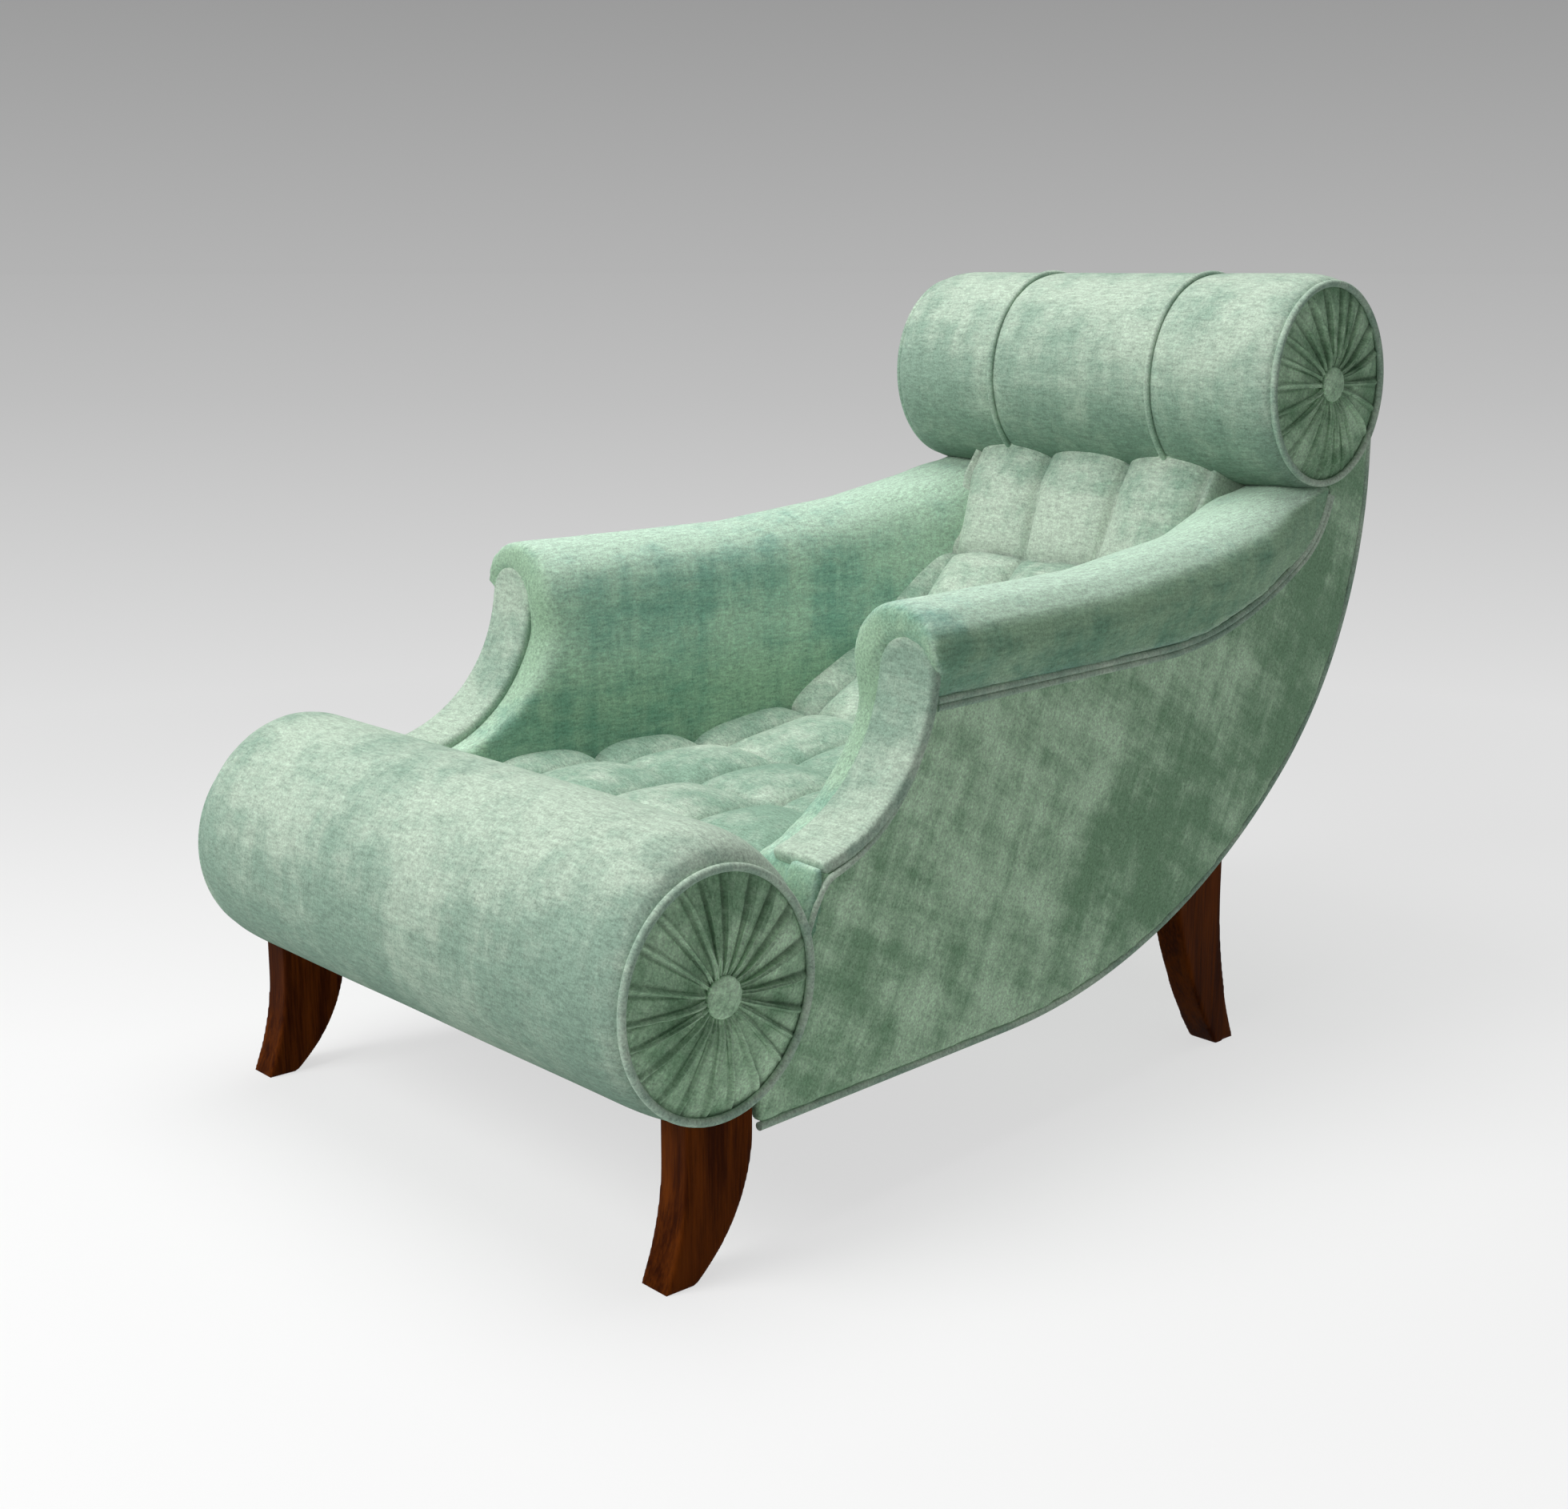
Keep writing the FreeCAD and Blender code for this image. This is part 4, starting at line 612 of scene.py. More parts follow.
# %% Sizes
FRONT_AXIS = Vector((0, -0.473, 0.258))
HEAD_AXIS = Vector((0, 0.477, 0.732))
FRONT_OVAL = (0.106, 0.113)
HEAD_OVAL = (0.102, 0.111)
FRONT_HALF = 0.362
HEAD_HALF = 0.285
TAPER = (FRONT_HALF - HEAD_HALF) / (HEAD_AXIS.y - FRONT_AXIS.y)
ROLLS = (("front", FRONT_AXIS, FRONT_OVAL, FRONT_HALF), ("head", HEAD_AXIS, HEAD_OVAL, HEAD_HALF))
SIDES = ((1, "right"), (-1, "left"))


def side_x(depth):
    """How far the side panel's face is from the middle at a depth."""
    return FRONT_HALF - TAPER * (depth - FRONT_AXIS.y)


print("taper", round(TAPER, 4))

# %% [markdown]
# ## The two rolls
# Each roll is a stuffed bolster. A cylinder is cut into many rings and scaled to the roll's oval section.
# Behind a round shoulder at each end the body swells, most of all upwards, and it draws in at each seam, as
# tight cloth does.

# %% Rolls
ROLL_SIDES = 144
ROLL_RINGS = 140
ROLL_END_SHARE = 0.975
SHOULDER_CURVE = 2.3
LUMP = 0.012
SEAM_TUCK = 0.034
SEAM_REACH = 0.010
FRONT_SWELL = (0.028, 0.004, 0.010, 0.006)
HEAD_SWELL = (0.009, 0.008, 0.010, 0.006)
HEAD_SEAM = 0.1207


def roll_cover(name, axis, oval, half, seams, swell, shoulder, dark_from, node_names):
    """A stuffed roll that swells by (up, down, front, back) past its end oval, and darkens below."""
    bpy.ops.object.select_all(action="DESELECT")
    bpy.ops.mesh.primitive_cylinder_add(
        vertices=ROLL_SIDES, radius=1, depth=2 * half, end_fill_type="NOTHING",
        location=(0, 0, 0), rotation=(0, math.pi / 2, 0))
    piece = bpy.context.object
    piece.name = name
    bpy.ops.object.transform_apply(rotation=True)
    bpy.ops.object.mode_set(mode="EDIT")
    for step in range(1, ROLL_RINGS):
        bpy.ops.mesh.select_all(action="SELECT")
        bpy.ops.mesh.bisect(plane_co=(-half + 2 * half * step / ROLL_RINGS, 0, 0), plane_no=(1, 0, 0))
    bpy.ops.object.mode_set(mode="OBJECT")
    places = points_of(piece)
    along = places[:, 0]
    inward = np.clip((half - np.abs(along)) / shoulder, 0, 1)
    full = (1 - (1 - inward) ** SHOULDER_CURVE) ** (1 / SHOULDER_CURVE)
    lumps = ripple(places * [6, 1.2, 1.2], 1.0, half * 9)
    creases = ripple(places * [1.0, 2.0, 2.0], 3.0, half * 5)
    radius = ROLL_END_SHARE + (1 - ROLL_END_SHARE + LUMP * (0.55 * lumps + 0.25 * creases)) * full
    for seam in seams:
        radius -= SEAM_TUCK * np.exp(-np.abs(along - seam) / SEAM_REACH)
    out_y = oval[0] * radius + full * np.where(places[:, 1] < 0, swell[2], swell[3])
    out_z = oval[1] * radius + full * np.where(places[:, 2] > 0, swell[0], swell[1])
    places[:, 1] = axis.y + places[:, 1] * out_y
    places[:, 2] = axis.z + places[:, 2] * out_z
    press(piece, places)
    mark(piece, "shaded", (dark_from - normals_of(piece)[:, 2]) / (1 + dark_from))
    return dress(piece, main_velvet, "velvet", *node_names, fill=0.95)


roll_cover("front_roll", FRONT_AXIS, FRONT_OVAL, FRONT_HALF, (), FRONT_SWELL, 0.062, 0.4,
           ("front_roll_cover", "front_roll_filling"))
roll_cover("head_roll", HEAD_AXIS, HEAD_OVAL, HEAD_HALF, (-HEAD_SEAM, HEAD_SEAM), HEAD_SWELL, 0.05, 0.0,
           ("head_cover_sides", "head_cover_middle", "head_roll_filling"))

# %% [markdown]
# ## Gathered end discs
# At each end of a roll, a strip of velvet is gathered to the middle, so pleats run out to the rim like
# spokes, deep near the button and softer outwards. A disc of many rings is lifted by pleats that differ in
# width and height: each one is a thin crest between two grooves, which are marked as shaded, and the cloth
# rises slowly to the next one.

# %% Discs
PLEATS = 22
DISC_POINTS = 720
DISC_INSETS = 26
DISC_SHARE = 0.985
CREST_HEIGHT = 0.0056
PLEAT_RISE = 0.0036
GROOVE_DEPTH = 0.0022
GROOVE_PLACE, GROOVE_WIDTH = 0.13, 0.07
DOME_HEIGHT, DIMPLE_DEPTH, DISC_SINK = 0.009, 0.007, 0.003
PLEAT_STRENGTH = ((0, 0.16, 0.3, 0.8, 0.93, 1.0), (0.2, 0.7, 1.0, 0.9, 0.45, 0.05))


def flat_disc(name):
    """A flat disc of many rings."""
    bpy.ops.object.select_all(action="DESELECT")
    bpy.ops.mesh.primitive_circle_add(vertices=DISC_POINTS, radius=1, fill_type="NGON")
    piece = bpy.context.object
    piece.name = name
    bpy.ops.object.mode_set(mode="EDIT")
    bpy.ops.mesh.select_all(action="SELECT")
    for step in range(DISC_INSETS):
        bpy.ops.mesh.inset(thickness=1 / (DISC_INSETS + 1.5), use_even_offset=False)
    bpy.ops.object.mode_set(mode="OBJECT")
    return piece


def gathered_disc(name, axis, oval, half, way, seed):
    """A pleated disc at the end of a roll that looks the given way."""
    piece = flat_disc(name)
    flat = points_of(piece)
    reach = np.hypot(flat[:, 0], flat[:, 1])
    angle = np.arctan2(flat[:, 1], flat[:, 0])
    wobble = (0.42 * np.sin(3 * angle + seed) + 0.3 * np.sin(5 * angle + 2 * seed)
              + 0.2 * np.sin(8 * angle - seed))
    bend = 0.25 * np.sin(2 * angle + seed) * reach
    phase = (PLEATS * angle + 2.0 * wobble + bend) / (2 * math.pi)
    share = phase - np.floor(phase)
    number = np.mod(np.round(phase), PLEATS)
    height = 0.95 + 0.35 * np.sin(number * 2.4 + seed * 3) * np.sin(number * 1.1)
    aside = np.minimum(share, 1 - share)
    from_crest = aside * 2 * math.pi / PLEATS * reach * oval[1]
    groove = np.exp(-((aside - GROOVE_PLACE) / GROOVE_WIDTH) ** 2)
    crest = np.exp(-(from_crest / (0.0012 + 0.0016 * reach)) ** 2) * height
    lift = CREST_HEIGHT * crest + PLEAT_RISE * (share ** 1.5 - 0.4) - GROOVE_DEPTH * groove
    dome = DOME_HEIGHT * np.clip(1 - reach ** 4, 0, 1) - DIMPLE_DEPTH * np.exp(-(reach / 0.2) ** 2)
    out = -DISC_SINK + dome + np.interp(reach, *PLEAT_STRENGTH) * lift
    press(piece, np.column_stack([way * (half + out), axis.y + flat[:, 0] * oval[0] * DISC_SHARE,
                                  axis.z + flat[:, 1] * oval[1] * DISC_SHARE]))
    mark(piece, "shaded", groove * np.where(share < 0.5, 0.85, 0.35) * np.clip(reach / 0.3, 0, 1))
    if way < 0:
        edit_all(piece, bpy.ops.mesh.flip_normals)
    bake(piece, "SOLIDIFY", thickness=0.003, offset=-1)
    return piece


discs = []
for roll_name, axis, oval, half in ROLLS:
    for way, side in SIDES:
        discs.append(gathered_disc(f"{roll_name}_disc_{side}", axis, oval, half, way, 1.3 + len(discs)))
for number, disc in enumerate(discs):
    dress(disc, shaded_side_velvet, "velvet", *(["end_discs"] if number == 0 else []), fill=0.5)

# %% [markdown]
# ## Covered buttons
# A button in the same velvet closes the gathers. It is a ball pressed flat, tucked in behind its rim, with
# fine folds at the edge where its cover is drawn round.

# %% Buttons
BUTTON_RADIUS = 0.0195
BUTTON_LIFT = 0.0075
BUTTON_OUT = 0.0055
BUTTON_FOLDS = 14
FOLD_HEIGHT = 0.0005
TUCK_BACK = 0.004

first = ["roll_buttons"]
for roll_name, axis, oval, half in ROLLS:
    for way, side in SIDES:
        bpy.ops.object.select_all(action="DESELECT")
        bpy.ops.mesh.primitive_uv_sphere_add(segments=48, ring_count=24, radius=BUTTON_RADIUS)
        button = bpy.context.object
        button.name = f"{roll_name}_button_{side}"
        ball = points_of(button)
        spread = np.hypot(ball[:, 0], ball[:, 1]) / BUTTON_RADIUS
        tuck = 1 - 0.10 * np.exp(-((ball[:, 2] + TUCK_BACK) / TUCK_BACK) ** 2)
        lift = BUTTON_LIFT * np.sign(ball[:, 2]) * np.abs(ball[:, 2] / BUTTON_RADIUS) ** 0.7
        folds = FOLD_HEIGHT * np.sin(BUTTON_FOLDS * np.arctan2(ball[:, 1], ball[:, 0])) * spread ** 3
        press(button, np.column_stack([way * (half + BUTTON_OUT + lift + folds), axis.y + ball[:, 0] * tuck,
                                       axis.z + ball[:, 1] * tuck]))
        edit_all(button, bpy.ops.mesh.normals_make_consistent, inside=False)
        dress(button, shaded_side_velvet, "velvet", *first, fill=0.9)
        first = []

# %% [markdown]
# ## Welts
# A welt is a thin cord in a bias strip of the same velvet, sewn into a seam. Each one is a smooth curve
# with a round bevel, turned into a mesh. The rolls have one round each end, and the head roll one over each
# of its two seams.

# %% Roll welts
WELT = 0.004
SEAM_CORD = 0.0036
SEAM_CORD_OUT = 0.0030
RIM_OUT, RIM_GROW = 0.001, -0.0015
RIM_STEPS = 72


def welt(name, points, radius, closed, nodes_replaced=()):
    """A round cord through the given points."""
    path = bpy.data.curves.new(name, "CURVE")
    path.dimensions = "3D"
    path.bevel_depth = radius
    path.bevel_resolution = 4
    path.use_fill_caps = True
    spline = path.splines.new("NURBS")
    spline.points.add(len(points) - 1)
    for spot, point in zip(spline.points, points):
        spot.co = (*point, 1)
    spline.order_u = 4
    spline.resolution_u = 3
    spline.use_cyclic_u = closed
    spline.use_endpoint_u = not closed
    piece = bpy.data.objects.new(name, path)
    bpy.context.collection.objects.link(piece)
    only(piece)
    bpy.ops.object.convert(target="MESH")
    return dress(bpy.context.object, main_velvet, "velvet", *nodes_replaced)


def ring_points(axis, x, reach_up, reach_down, reach_front, reach_back):
    """Points round a roll, with their own reach to each of its four sides."""
    points = []
    for step in range(RIM_STEPS):
        angle = 2 * math.pi * step / RIM_STEPS
        y, z = math.cos(angle), math.sin(angle)
        points.append((x, axis.y + (reach_front if y < 0 else reach_back) * y,
                       axis.z + (reach_up if z > 0 else reach_down) * z))
    return points


first = ["roll_welts"]
for roll_name, axis, oval, half in ROLLS:
    level, upright = oval[0] + RIM_GROW, oval[1] + RIM_GROW
    for way, side in SIDES:
        rim = ring_points(axis, way * (half + RIM_OUT), upright, upright, level, level)
        welt(f"{roll_name}_rim_welt_{side}", rim, WELT, True, first)
        first = []
level = HEAD_OVAL[0] * (1 - SEAM_TUCK) + SEAM_CORD_OUT
upright = HEAD_OVAL[1] * (1 - SEAM_TUCK) + SEAM_CORD_OUT
for way, side in SIDES:
    seam = ring_points(HEAD_AXIS, way * HEAD_SEAM, upright + HEAD_SWELL[0], upright + HEAD_SWELL[1],
                       level + HEAD_SWELL[2], level + HEAD_SWELL[3])
    welt(f"head_seam_{side}", seam, SEAM_CORD, True)

# %% [markdown]
# ## Welts of the sides
# One welt follows the lower and back edge of a side, a double one lies below the arm roll, and one runs up
# the front edge. The first two follow the chair's sweep: a level run, then an arc of large radius, then a
# tighter one.

# %% Side welts
SWEEP_START = -0.073
SWEEP_HEIGHT = 0.640
SWEEP_LENGTH = 0.649
SWEEP_DROP = 0.516
SWEEP_END = 0.853 * SWEEP_DROP
SWEEP_BEGIN, SWEEP_STOP = -0.423, 90
LOWER_SWEEP = (SWEEP_START, SWEEP_HEIGHT, SWEEP_LENGTH, SWEEP_DROP, SWEEP_END, SWEEP_BEGIN, SWEEP_STOP)
BACK_EDGE_HEIGHTS = (0.66, 0.69)
ARM_START = 0.167
ARM_LENGTH = 0.326
ARM_DROP = 0.168
ARM_END = 0.655 * ARM_DROP
ARM_BEGIN, ARM_STOP = -0.193, 74
ARM_SWEEP = (ARM_START, SWEEP_HEIGHT, ARM_LENGTH, ARM_DROP, ARM_END, ARM_BEGIN, ARM_STOP)
ARM_WELT = 0.0036
ARM_WELT_STEP = 0.0068
ARM_CENTRE = (-0.375, 0.511)
ARM_FRONT = 0.1793
FRONT_WELT = 0.0033
FRONT_WELT_OUT = 0.003
FRONT_WELT_FOOT = [(-0.366, 0.285), (-0.352, 0.318)]


def sweep_points(start, height, length, drop, end, begin, stop, inset=0.0, count=48):
    """Points along a level run and a two-arc sweep, seen from the side as (depth, height)."""
    run, rise = length - end, drop - end
    radius = end + (run ** 2 + rise ** 2) / (2 * rise)
    bend = math.atan2(run, radius - drop)
    floor_height = height - drop
    points = [(begin + (start - begin) * step / 12, floor_height + inset) for step in range(12)]
    for step in range(count + 1):
        slope = math.radians(stop) * step / count
        if slope <= bend:
            points.append((start + (radius - inset) * math.sin(slope),
                           floor_height + radius - (radius - inset) * math.cos(slope)))
        else:
            points.append((start + run + (end - inset) * math.sin(slope),
                           height - (end - inset) * math.cos(slope)))
    return points


def on_side(points, way, out):
    """Side-view points put on the face of a side panel, moved out of it."""
    return [(way * (side_x(depth) + out), depth, height) for depth, height in points]


for way, side in SIDES:
    lower = sweep_points(*LOWER_SWEEP)
    lower += [(lower[-1][0], height) for height in BACK_EDGE_HEIGHTS]
    welt(f"lower_welt_{side}", on_side(lower, way, -0.002), WELT, False, [f"side_welts_{side}"])
    for number in range(2):
        points = sweep_points(*ARM_SWEEP, -0.0005 - ARM_WELT_STEP * number)
        welt(f"arm_welt_{number + 1}_{side}", on_side(points, way, 0.002), ARM_WELT, False)
    front = FRONT_WELT_FOOT + [
        (ARM_CENTRE[0] + (ARM_FRONT + FRONT_WELT_OUT) * math.cos(math.radians(angle)),
         ARM_CENTRE[1] + (ARM_FRONT + FRONT_WELT_OUT) * math.sin(math.radians(angle)))
        for angle in range(-78, -14, 3)]
    welt(f"arm_front_welt_{side}", on_side(front, way, 0.001), FRONT_WELT, False)

# %% [markdown]
# ## The tufted pad
# Seat and back are one thick pad, drawn down in a square grid of tucks, with no buttons showing. A fine
# grid with a second skin is laid along the pad's sweep: each point has its way along the pad, its way
# across, and its depth below the face. The folds press the face down: deepest where two folds cross,
# rounded like loaves in between.

# %% Pad sizes and rules
SEAT_TOP = 0.322
SEAT_TURN = -0.016
BACK_RADIUS = 0.425
BACK_ANGLE = math.radians(65)
PAD_DEPTH = 0.066
PAD_START = -0.420
PAD_BEGIN, PAD_LENGTH = 0.038, 0.985
FOLD_ROWS = (-0.008, 0.129, 0.266, 0.403, 0.547, 0.691, 0.835, 1.21)
FOLD_COLUMNS = (-1.37, -0.82, -0.274, 0.274, 0.82, 1.37)
UNDER_COVER = 0.985


def pad_place(way, below):
    """Depth and height of points by their way along the pad's face and their depth below it."""
    past = way - (SEAT_TURN - PAD_START)
    turn = np.clip(past / BACK_RADIUS, 0, BACK_ANGLE)
    seat = np.minimum(past, 0)
    back = np.maximum(past - BACK_RADIUS * BACK_ANGLE, 0)
    depth = SEAT_TURN + seat + (BACK_RADIUS + below) * np.sin(turn) + back * math.cos(BACK_ANGLE)
    height = SEAT_TOP + BACK_RADIUS - (BACK_RADIUS + below) * np.cos(turn) + back * math.sin(BACK_ANGLE)
    return depth, height


def fold_depth(values, folds):
    """1 on a fold and 0 half-way between two folds, rounded like a loaf."""
    folds = np.asarray(folds)
    index = np.clip(np.searchsorted(folds, values) - 1, 0, len(folds) - 2)
    low, high = folds[index], folds[index + 1]
    share = np.abs(2 * (values - low) / (high - low) - 1)
    return 1 - np.clip(1 - np.clip(share, 0, 1) ** 2.3, 0, 1) ** 0.52


def clear_of_roll(depth, height, axis, oval):
    """Moves points that lie inside a roll out to just below its cover."""
    reach = np.hypot((depth - axis.y) / oval[0], (height - axis.z) / oval[1])
    push = np.where(reach < UNDER_COVER, UNDER_COVER / np.maximum(reach, 0.2), 1.0)
    return axis.y + (depth - axis.y) * push, axis.z + (height - axis.z) * push


print("pad:", len(FOLD_ROWS), "fold rows,", len(FOLD_COLUMNS), "fold columns")

# %% Tufted pad
TUCK = 0.038
CROSS_SHARE = 0.38
CROWN = 0.010
WANDER = 0.005
TOP_START, TOP_RANGE, TOP_SINK = 0.93, 0.1, 0.016
FLANK_START, FLANK_RANGE = 0.52, 0.09
FLANK_SINK = 0.06
FLANK_WIDEN = 0.022
ARM_THICKNESS = 0.0955
LEAST_PAD = 0.004

bpy.ops.object.select_all(action="DESELECT")
bpy.ops.mesh.primitive_grid_add(x_subdivisions=132, y_subdivisions=280, size=2)
tufted_pad = bpy.context.object
tufted_pad.name = "tufted_pad_cushion"
edit_all(tufted_pad, bpy.ops.mesh.extrude_region_move, TRANSFORM_OT_translate={"value": (0, 0, 1)})
grid = points_of(tufted_pad)
way = PAD_BEGIN + (grid[:, 1] + 1) / 2 * (PAD_LENGTH - PAD_BEGIN)
across = grid[:, 0]
wander = WANDER * ripple(np.column_stack([across * 0.25, way, way * 0]), 9.0, 3.0)
fold_row = fold_depth(way + wander, FOLD_ROWS)
fold_column = fold_depth(across + wander * 3, FOLD_COLUMNS)
fold = np.maximum(fold_row, fold_column)
cross = np.minimum(fold_row, fold_column)
tuck = TUCK * ((1 - CROSS_SHARE) * fold + CROSS_SHARE * cross) - CROWN
tuck += TOP_SINK * np.clip((way - TOP_START) / TOP_RANGE, 0, 1)
flank = np.clip((pad_place(way, 0.0)[1] - FLANK_START) / FLANK_RANGE, 0, 1)
flank_edge = flank * step_up(np.abs(across), 0.84, 0.95)
tuck = np.minimum(tuck + FLANK_SINK * flank_edge, PAD_DEPTH - LEAST_PAD)
below = np.where(grid[:, 2] > 0.5, tuck, PAD_DEPTH)
depth, height = pad_place(way, below)
depth, height = clear_of_roll(depth, height, FRONT_AXIS, FRONT_OVAL)
swollen_head = (HEAD_OVAL[0] + HEAD_SWELL[2], HEAD_OVAL[1] + HEAD_SWELL[1])
depth, height = clear_of_roll(depth, height, HEAD_AXIS, swollen_head)
half_width = side_x(depth) - ARM_THICKNESS + FLANK_WIDEN * flank
press(tufted_pad, np.column_stack([across * half_width, depth, height]))
edit_all(tufted_pad, bpy.ops.mesh.normals_make_consistent, inside=False)
mark(tufted_pad, "shaded", np.maximum(fold ** 4, flank_edge))
dress(tufted_pad, pad_velvet, "velvet", "tufted_pad", fill=0.8)

# %% [markdown]
# ## Arms
# The arm pads are thick and roll over outwards. Their CAD solids give the section. The copies are relaxed
# until the ruled faces melt into one curve, and small folds are drawn in round the arch at the front, where
# the cover is pleated. At the rear, the pad is drawn back along the welt until it meets the head roll.

# %% Arm sizes and rules
BROW = ARM_CENTRE[0] + ARM_FRONT
FACING_X = 0.315
FACING_HALF = 0.035
ARCH_Z = 0.493
ARM_TAIL = 0.034
TAIL_LIFT = 0.005
TAIL_INWARD = 0.026
HOOD_REACH = 0.03
HOOD_FORWARD, HOOD_EDGE = 0.008, 0.007
GATHER = 0.0011
GATHER_PLACE, GATHER_WIDTH = 0.004, 0.006
ARM_SWELL, ARM_LUMP = 0.003, 0.0022
WELT_GAP = 0.003
ARM_CURVE = np.array(sweep_points(*ARM_SWEEP))


def facing_parts(side):
    """The padded strip and the little foot below it, as two loose copies."""
    whole = copy_solid(f"arm_facing_{side}", f"arm_facing_cushion_{side}")
    only(whole)
    bpy.ops.mesh.separate(type="LOOSE")
    pieces = sorted(bpy.context.selected_objects, key=lambda item: points_of(item)[:, 2].max())
    return pieces[-1], pieces[0]


def join_foot(arm, foot, way_x):
    """Widens the foot a little, moves it up and forward, and joins it to the arm."""
    places = points_of(foot)
    inside = way_x * places[:, 0] < side_x(places[:, 1]) - 0.02
    places[:, 0] += np.where(inside, -way_x * 0.005, way_x * 0.005)
    press(foot, places + [0, -0.006, 0.013])
    only(arm)
    foot.select_set(True)
    bpy.ops.object.join()


def relax_arm(arm, way_x):
    """Melts the arm's faces into one curve, and its inner face more than the rest."""
    bake(arm, "REMESH", mode="VOXEL", voxel_size=0.0045)
    bake(arm, "SMOOTH", factor=0.5, iterations=16)
    firm = points_of(arm)
    bake(arm, "SMOOTH", factor=0.5, iterations=40)
    inner = step_up(FACING_X - FACING_HALF - firm[:, 0] * way_x, -0.012, 0.02)
    inner *= step_up(firm[:, 2], 0.36, 0.44) * (1 - step_up(firm[:, 1], 0.2, 0.35))
    press(arm, firm + (points_of(arm) - firm) * inner[:, None])


def shape_front(places, way_x):
    """How far points of the arm's front come forward: the hood over the facing and its gathers."""
    out_x, up = places[:, 0] * way_x, places[:, 2]
    from_arch = np.where(up > ARCH_Z, np.hypot(out_x - FACING_X, up - ARCH_Z), np.abs(out_x - FACING_X))
    beyond = from_arch - FACING_HALF
    hood = step_up(up, 0.45, 0.51) * np.exp(-(np.clip(places[:, 1] - BROW, 0, None) / HOOD_REACH) ** 2)
    forward = hood * (HOOD_FORWARD + HOOD_EDGE * step_up(beyond, -0.002, 0.006))
    round_arch = np.arctan2(up - ARCH_Z, out_x - FACING_X)
    pleats = np.sin(46 * round_arch + 2 * np.sin(7 * round_arch))
    return forward + GATHER * pleats * hood * np.exp(-np.abs(beyond - GATHER_PLACE) / GATHER_WIDTH)


def shape_tail(places, way_x, out_x):
    """Draws the rear of the arm back, up and inwards, above the welt and inside the panel's face."""
    places[:, 1] += ARM_TAIL * step_up(places[:, 1], 0.40, 0.452)
    places[:, 2] += TAIL_LIFT * step_up(places[:, 1], 0.43, 0.48)
    inner_tail = step_up(side_x(places[:, 1]) - out_x, 0.04, 0.075) * step_up(places[:, 1], 0.24, 0.40)
    places[:, 0] -= way_x * TAIL_INWARD * inner_tail
    welt_height = np.interp(places[:, 1], ARM_CURVE[:, 0], ARM_CURVE[:, 1])
    lift = np.clip(welt_height + WELT_GAP - places[:, 2], 0, None) * step_up(places[:, 1], 0.22, 0.36)
    places[:, 2] += np.where(out_x > side_x(places[:, 1]) - 0.03, lift, 0)
    over = np.clip(way_x * places[:, 0] - side_x(places[:, 1]) - WELT_GAP, 0, None)
    places[:, 0] -= way_x * over * step_up(places[:, 1], 0.34, 0.48)


print("arm brow at", round(BROW, 4))

# %% Arm pads and facings
OUTSIDE_SHADE, INSIDE_SHADE, FRONT_SHADE = 1.25, 0.7, 0.8
INSIDE_HIGH, INSIDE_LOW = 0.47, 0.36
FACING_SWELL, FACING_CROWN = 0.0012, 0.0022

for way_x, side in SIDES:
    facing, foot = facing_parts(side)
    arm = copy_solid(f"arm_pad_{side}", f"arm_cushion_{side}")
    join_foot(arm, foot, way_x)
    relax_arm(arm, way_x)
    places = points_of(arm)
    out_x = places[:, 0] * way_x
    forward = shape_front(places, way_x)
    lump = ARM_LUMP * ripple(places * [1.0, 0.5, 1.0], 7.0, 11.0 * way_x) + ARM_SWELL
    places += normals_of(arm) * lump[:, None]
    places[:, 1] -= forward
    shape_tail(places, way_x, out_x)
    press(arm, places)
    out, front, up = normals_of(arm).T * [[way_x], [-1], [1]]
    outside = OUTSIDE_SHADE * np.clip(out, 0, 1) ** 4
    inside = INSIDE_SHADE * np.clip(-out, 0, 1) * step_up(-places[:, 2], -INSIDE_HIGH, -INSIDE_LOW)
    mark(arm, "shaded", np.maximum(FRONT_SHADE * front, np.maximum(outside, inside)))
    # painted light: the arm's top and front are marked to turn paler, as if lit
    mark(arm, "painted_light_share", np.maximum(up, front))
    dress(arm, arm_velvet, "velvet", f"arm_pad_{side}", fill=0.9)

    bake(facing, "REMESH", mode="VOXEL", voxel_size=0.0022)
    bake(facing, "SMOOTH", factor=0.5, iterations=14)
    places = points_of(facing)
    from_middle = (places[:, 0] * way_x - FACING_X) / FACING_HALF
    crown = FACING_SWELL + FACING_CROWN * np.clip(1 - from_middle ** 2, 0, 1)
    press(facing, places + normals_of(facing) * crown[:, None])
    dress(facing, main_velvet, "velvet", f"arm_facing_{side}", fill=0.7)

# %% [markdown]
# ## Outside panels
# The outside panels are velvet over thin padding, pulled tight to the welts. The copies of the side panels
# get a thicker back, are remeshed, and then swell by a few uneven millimetres. The outside back is plain,
# and only gets more faces.

# %% Side panels
PANEL_BACKING = 0.008
PANEL_PADDING = 0.0024
PANEL_SWELL = 0.0022

for way_x, side in SIDES:
    panel = copy_solid(f"side_panel_{side}", f"side_cover_{side}")
    places = points_of(panel)
    inner = way_x * places[:, 0] < side_x(places[:, 1]) - 0.002
    places[inner, 0] -= way_x * PANEL_BACKING
    press(panel, places)
    bake(panel, "REMESH", mode="VOXEL", voxel_size=0.004)
    bake(panel, "SMOOTH", factor=0.5, iterations=4)
    places = points_of(panel)
    outer = way_x * places[:, 0] > side_x(places[:, 1]) - 0.003
    places += normals_of(panel) * PANEL_PADDING
    swell = PANEL_SWELL * ripple(places, 5.0, 4.0 + way_x)
    places[outer, 0] += way_x * swell[outer]
    press(panel, places)
    dress(panel, shaded_side_velvet, "velvet", f"side_panel_{side}", fill=0.9)

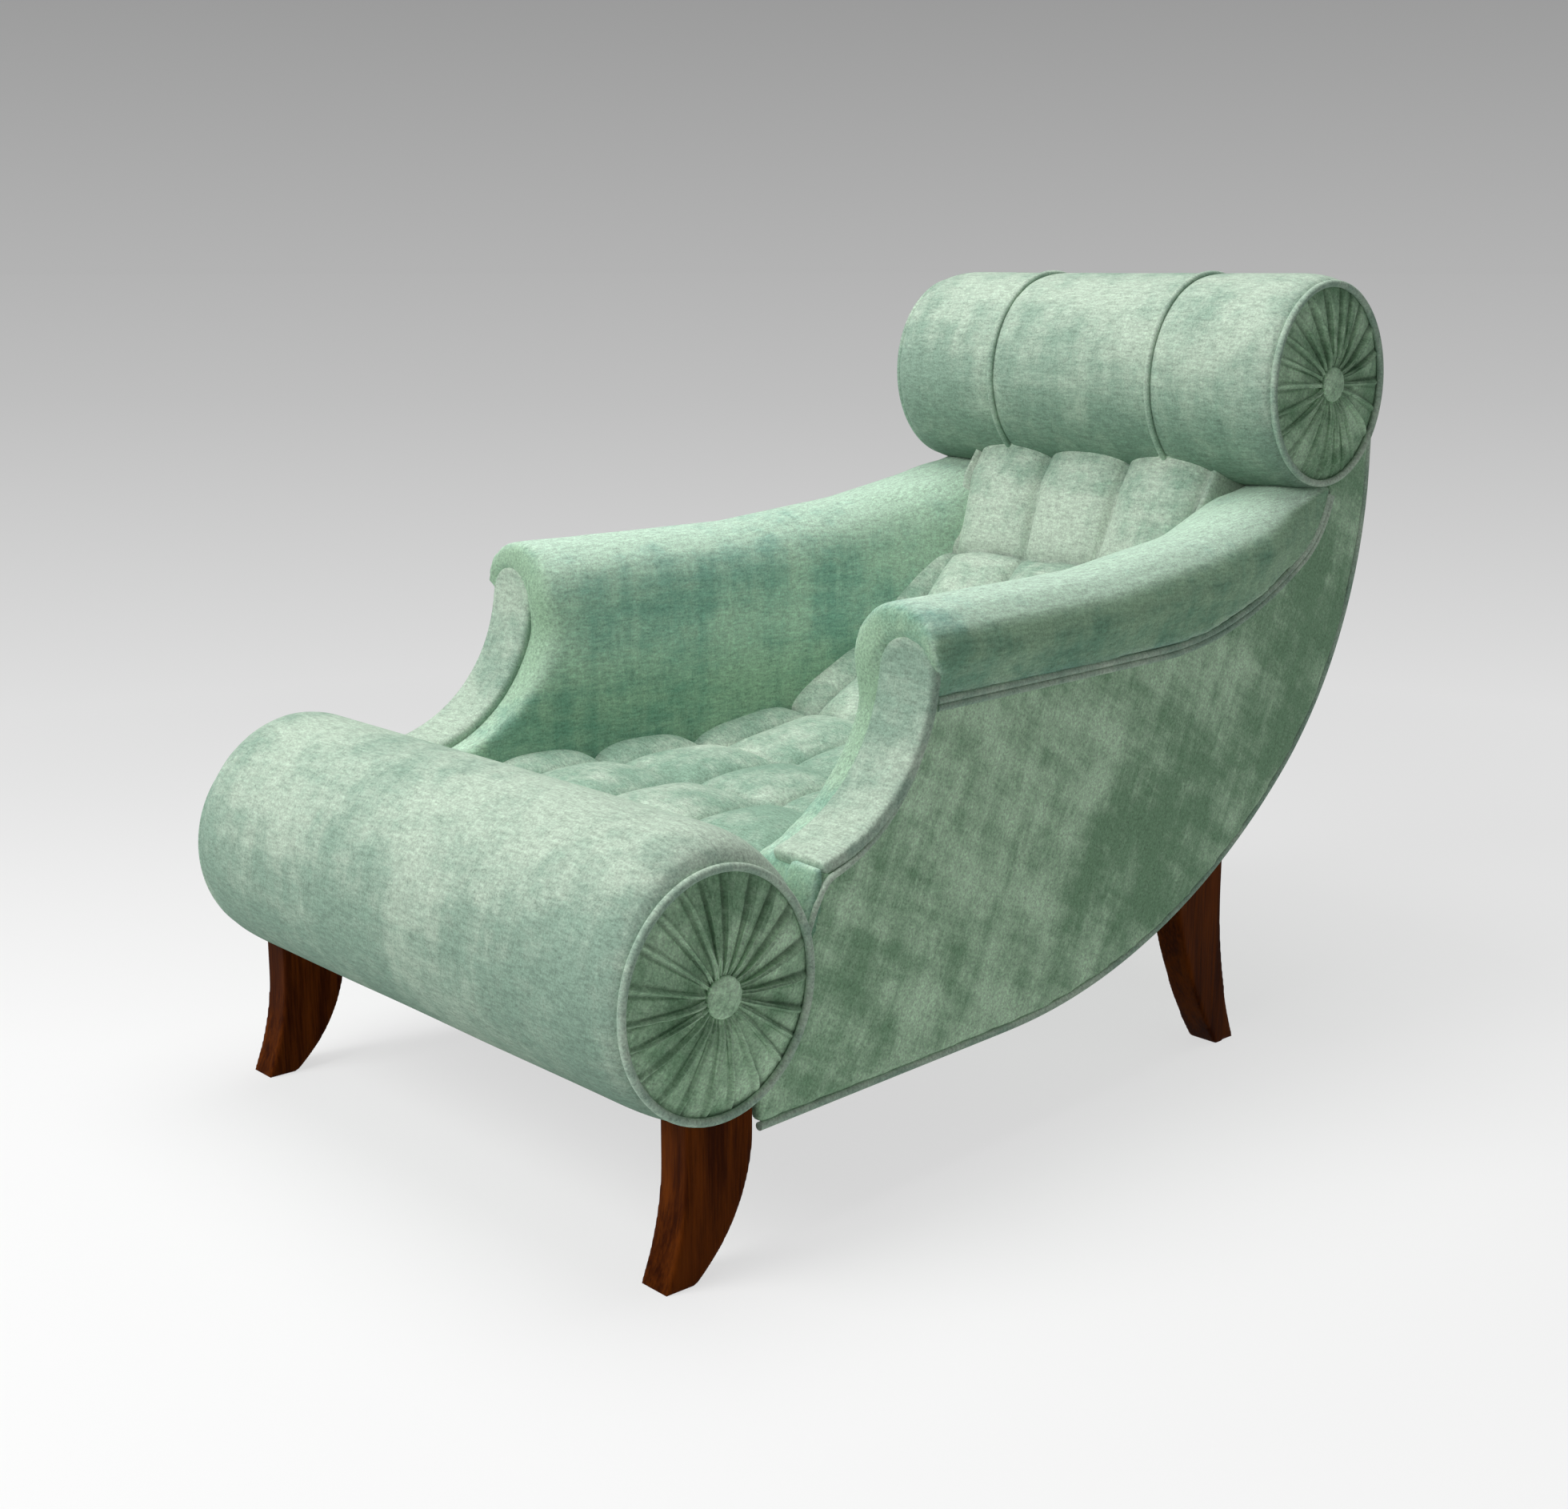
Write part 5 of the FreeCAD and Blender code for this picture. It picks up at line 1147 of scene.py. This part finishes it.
# %% Outside back
back = copy_solid("outside_back", "outside_back_cover")
bake(back, "SUBSURF", subdivision_type="SIMPLE", levels=2, render_levels=2)
dress(back, shaded_side_velvet, "velvet", "outside_back", fill=0.9)

# %% [markdown]
# ## Legs
# The legs are sawn sabre shapes with softened arrises. The CAD copies are remeshed finely and relaxed a
# little, which rounds every edge. How far a point moved in that step marks where the polish is rubbed
# through.

# %% Legs
RUB_START, RUB_RANGE = 0.0006, 0.0012

for spot in ("front_leg", "back_leg"):
    for way_x, side in SIDES:
        leg = copy_solid(f"{spot}_{side}", f"{spot}_{side}_worn")
        bake(leg, "REMESH", mode="VOXEL", voxel_size=0.0022)
        before = points_of(leg)
        bake(leg, "SMOOTH", factor=0.5, iterations=6)
        after = points_of(leg)
        moved = np.linalg.norm(after - before, axis=1)
        patches = ripple(after, 45.0, 2.0) * 0.6 + ripple(after, 130.0, 5.0) * 0.4
        rubbed = np.clip((moved - RUB_START) / RUB_RANGE, 0, 1)
        mark(leg, "rubbed", rubbed * np.clip(0.35 + 1.2 * patches, 0, 1))
        dress(leg, leg_wood, "leg_wood", f"{spot}_{side}")

# %% [markdown]
# ## Dust cover
# A dark cambric closes the chair from below. It is one thin sheet, tacked to the front and rear rails,
# which follows the taper of the sides and sags a few millimetres in the middle.

# %% Dust cover
DUST_INSET = 0.008
DUST_SAG = 0.004

low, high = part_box("dust_cover")
bpy.ops.object.select_all(action="DESELECT")
bpy.ops.mesh.primitive_grid_add(x_subdivisions=80, y_subdivisions=50, size=1)
dust = bpy.context.object
dust.name = "dust_cover_cloth"
grid = points_of(dust)
depth = low[1] + (grid[:, 1] + 0.5) * (high[1] - low[1])
reach = side_x(depth) - DUST_INSET
sag = DUST_SAG * np.clip(1 - (2 * grid[:, 0]) ** 2, 0, 1) * np.clip(1 - (2 * grid[:, 1]) ** 2, 0, 1)
press(dust, np.column_stack([grid[:, 0] * 2 * reach, depth, (low[2] + high[2]) / 2 - sag]))
dress(dust, black_cambric, "canvas", "dust_cover")
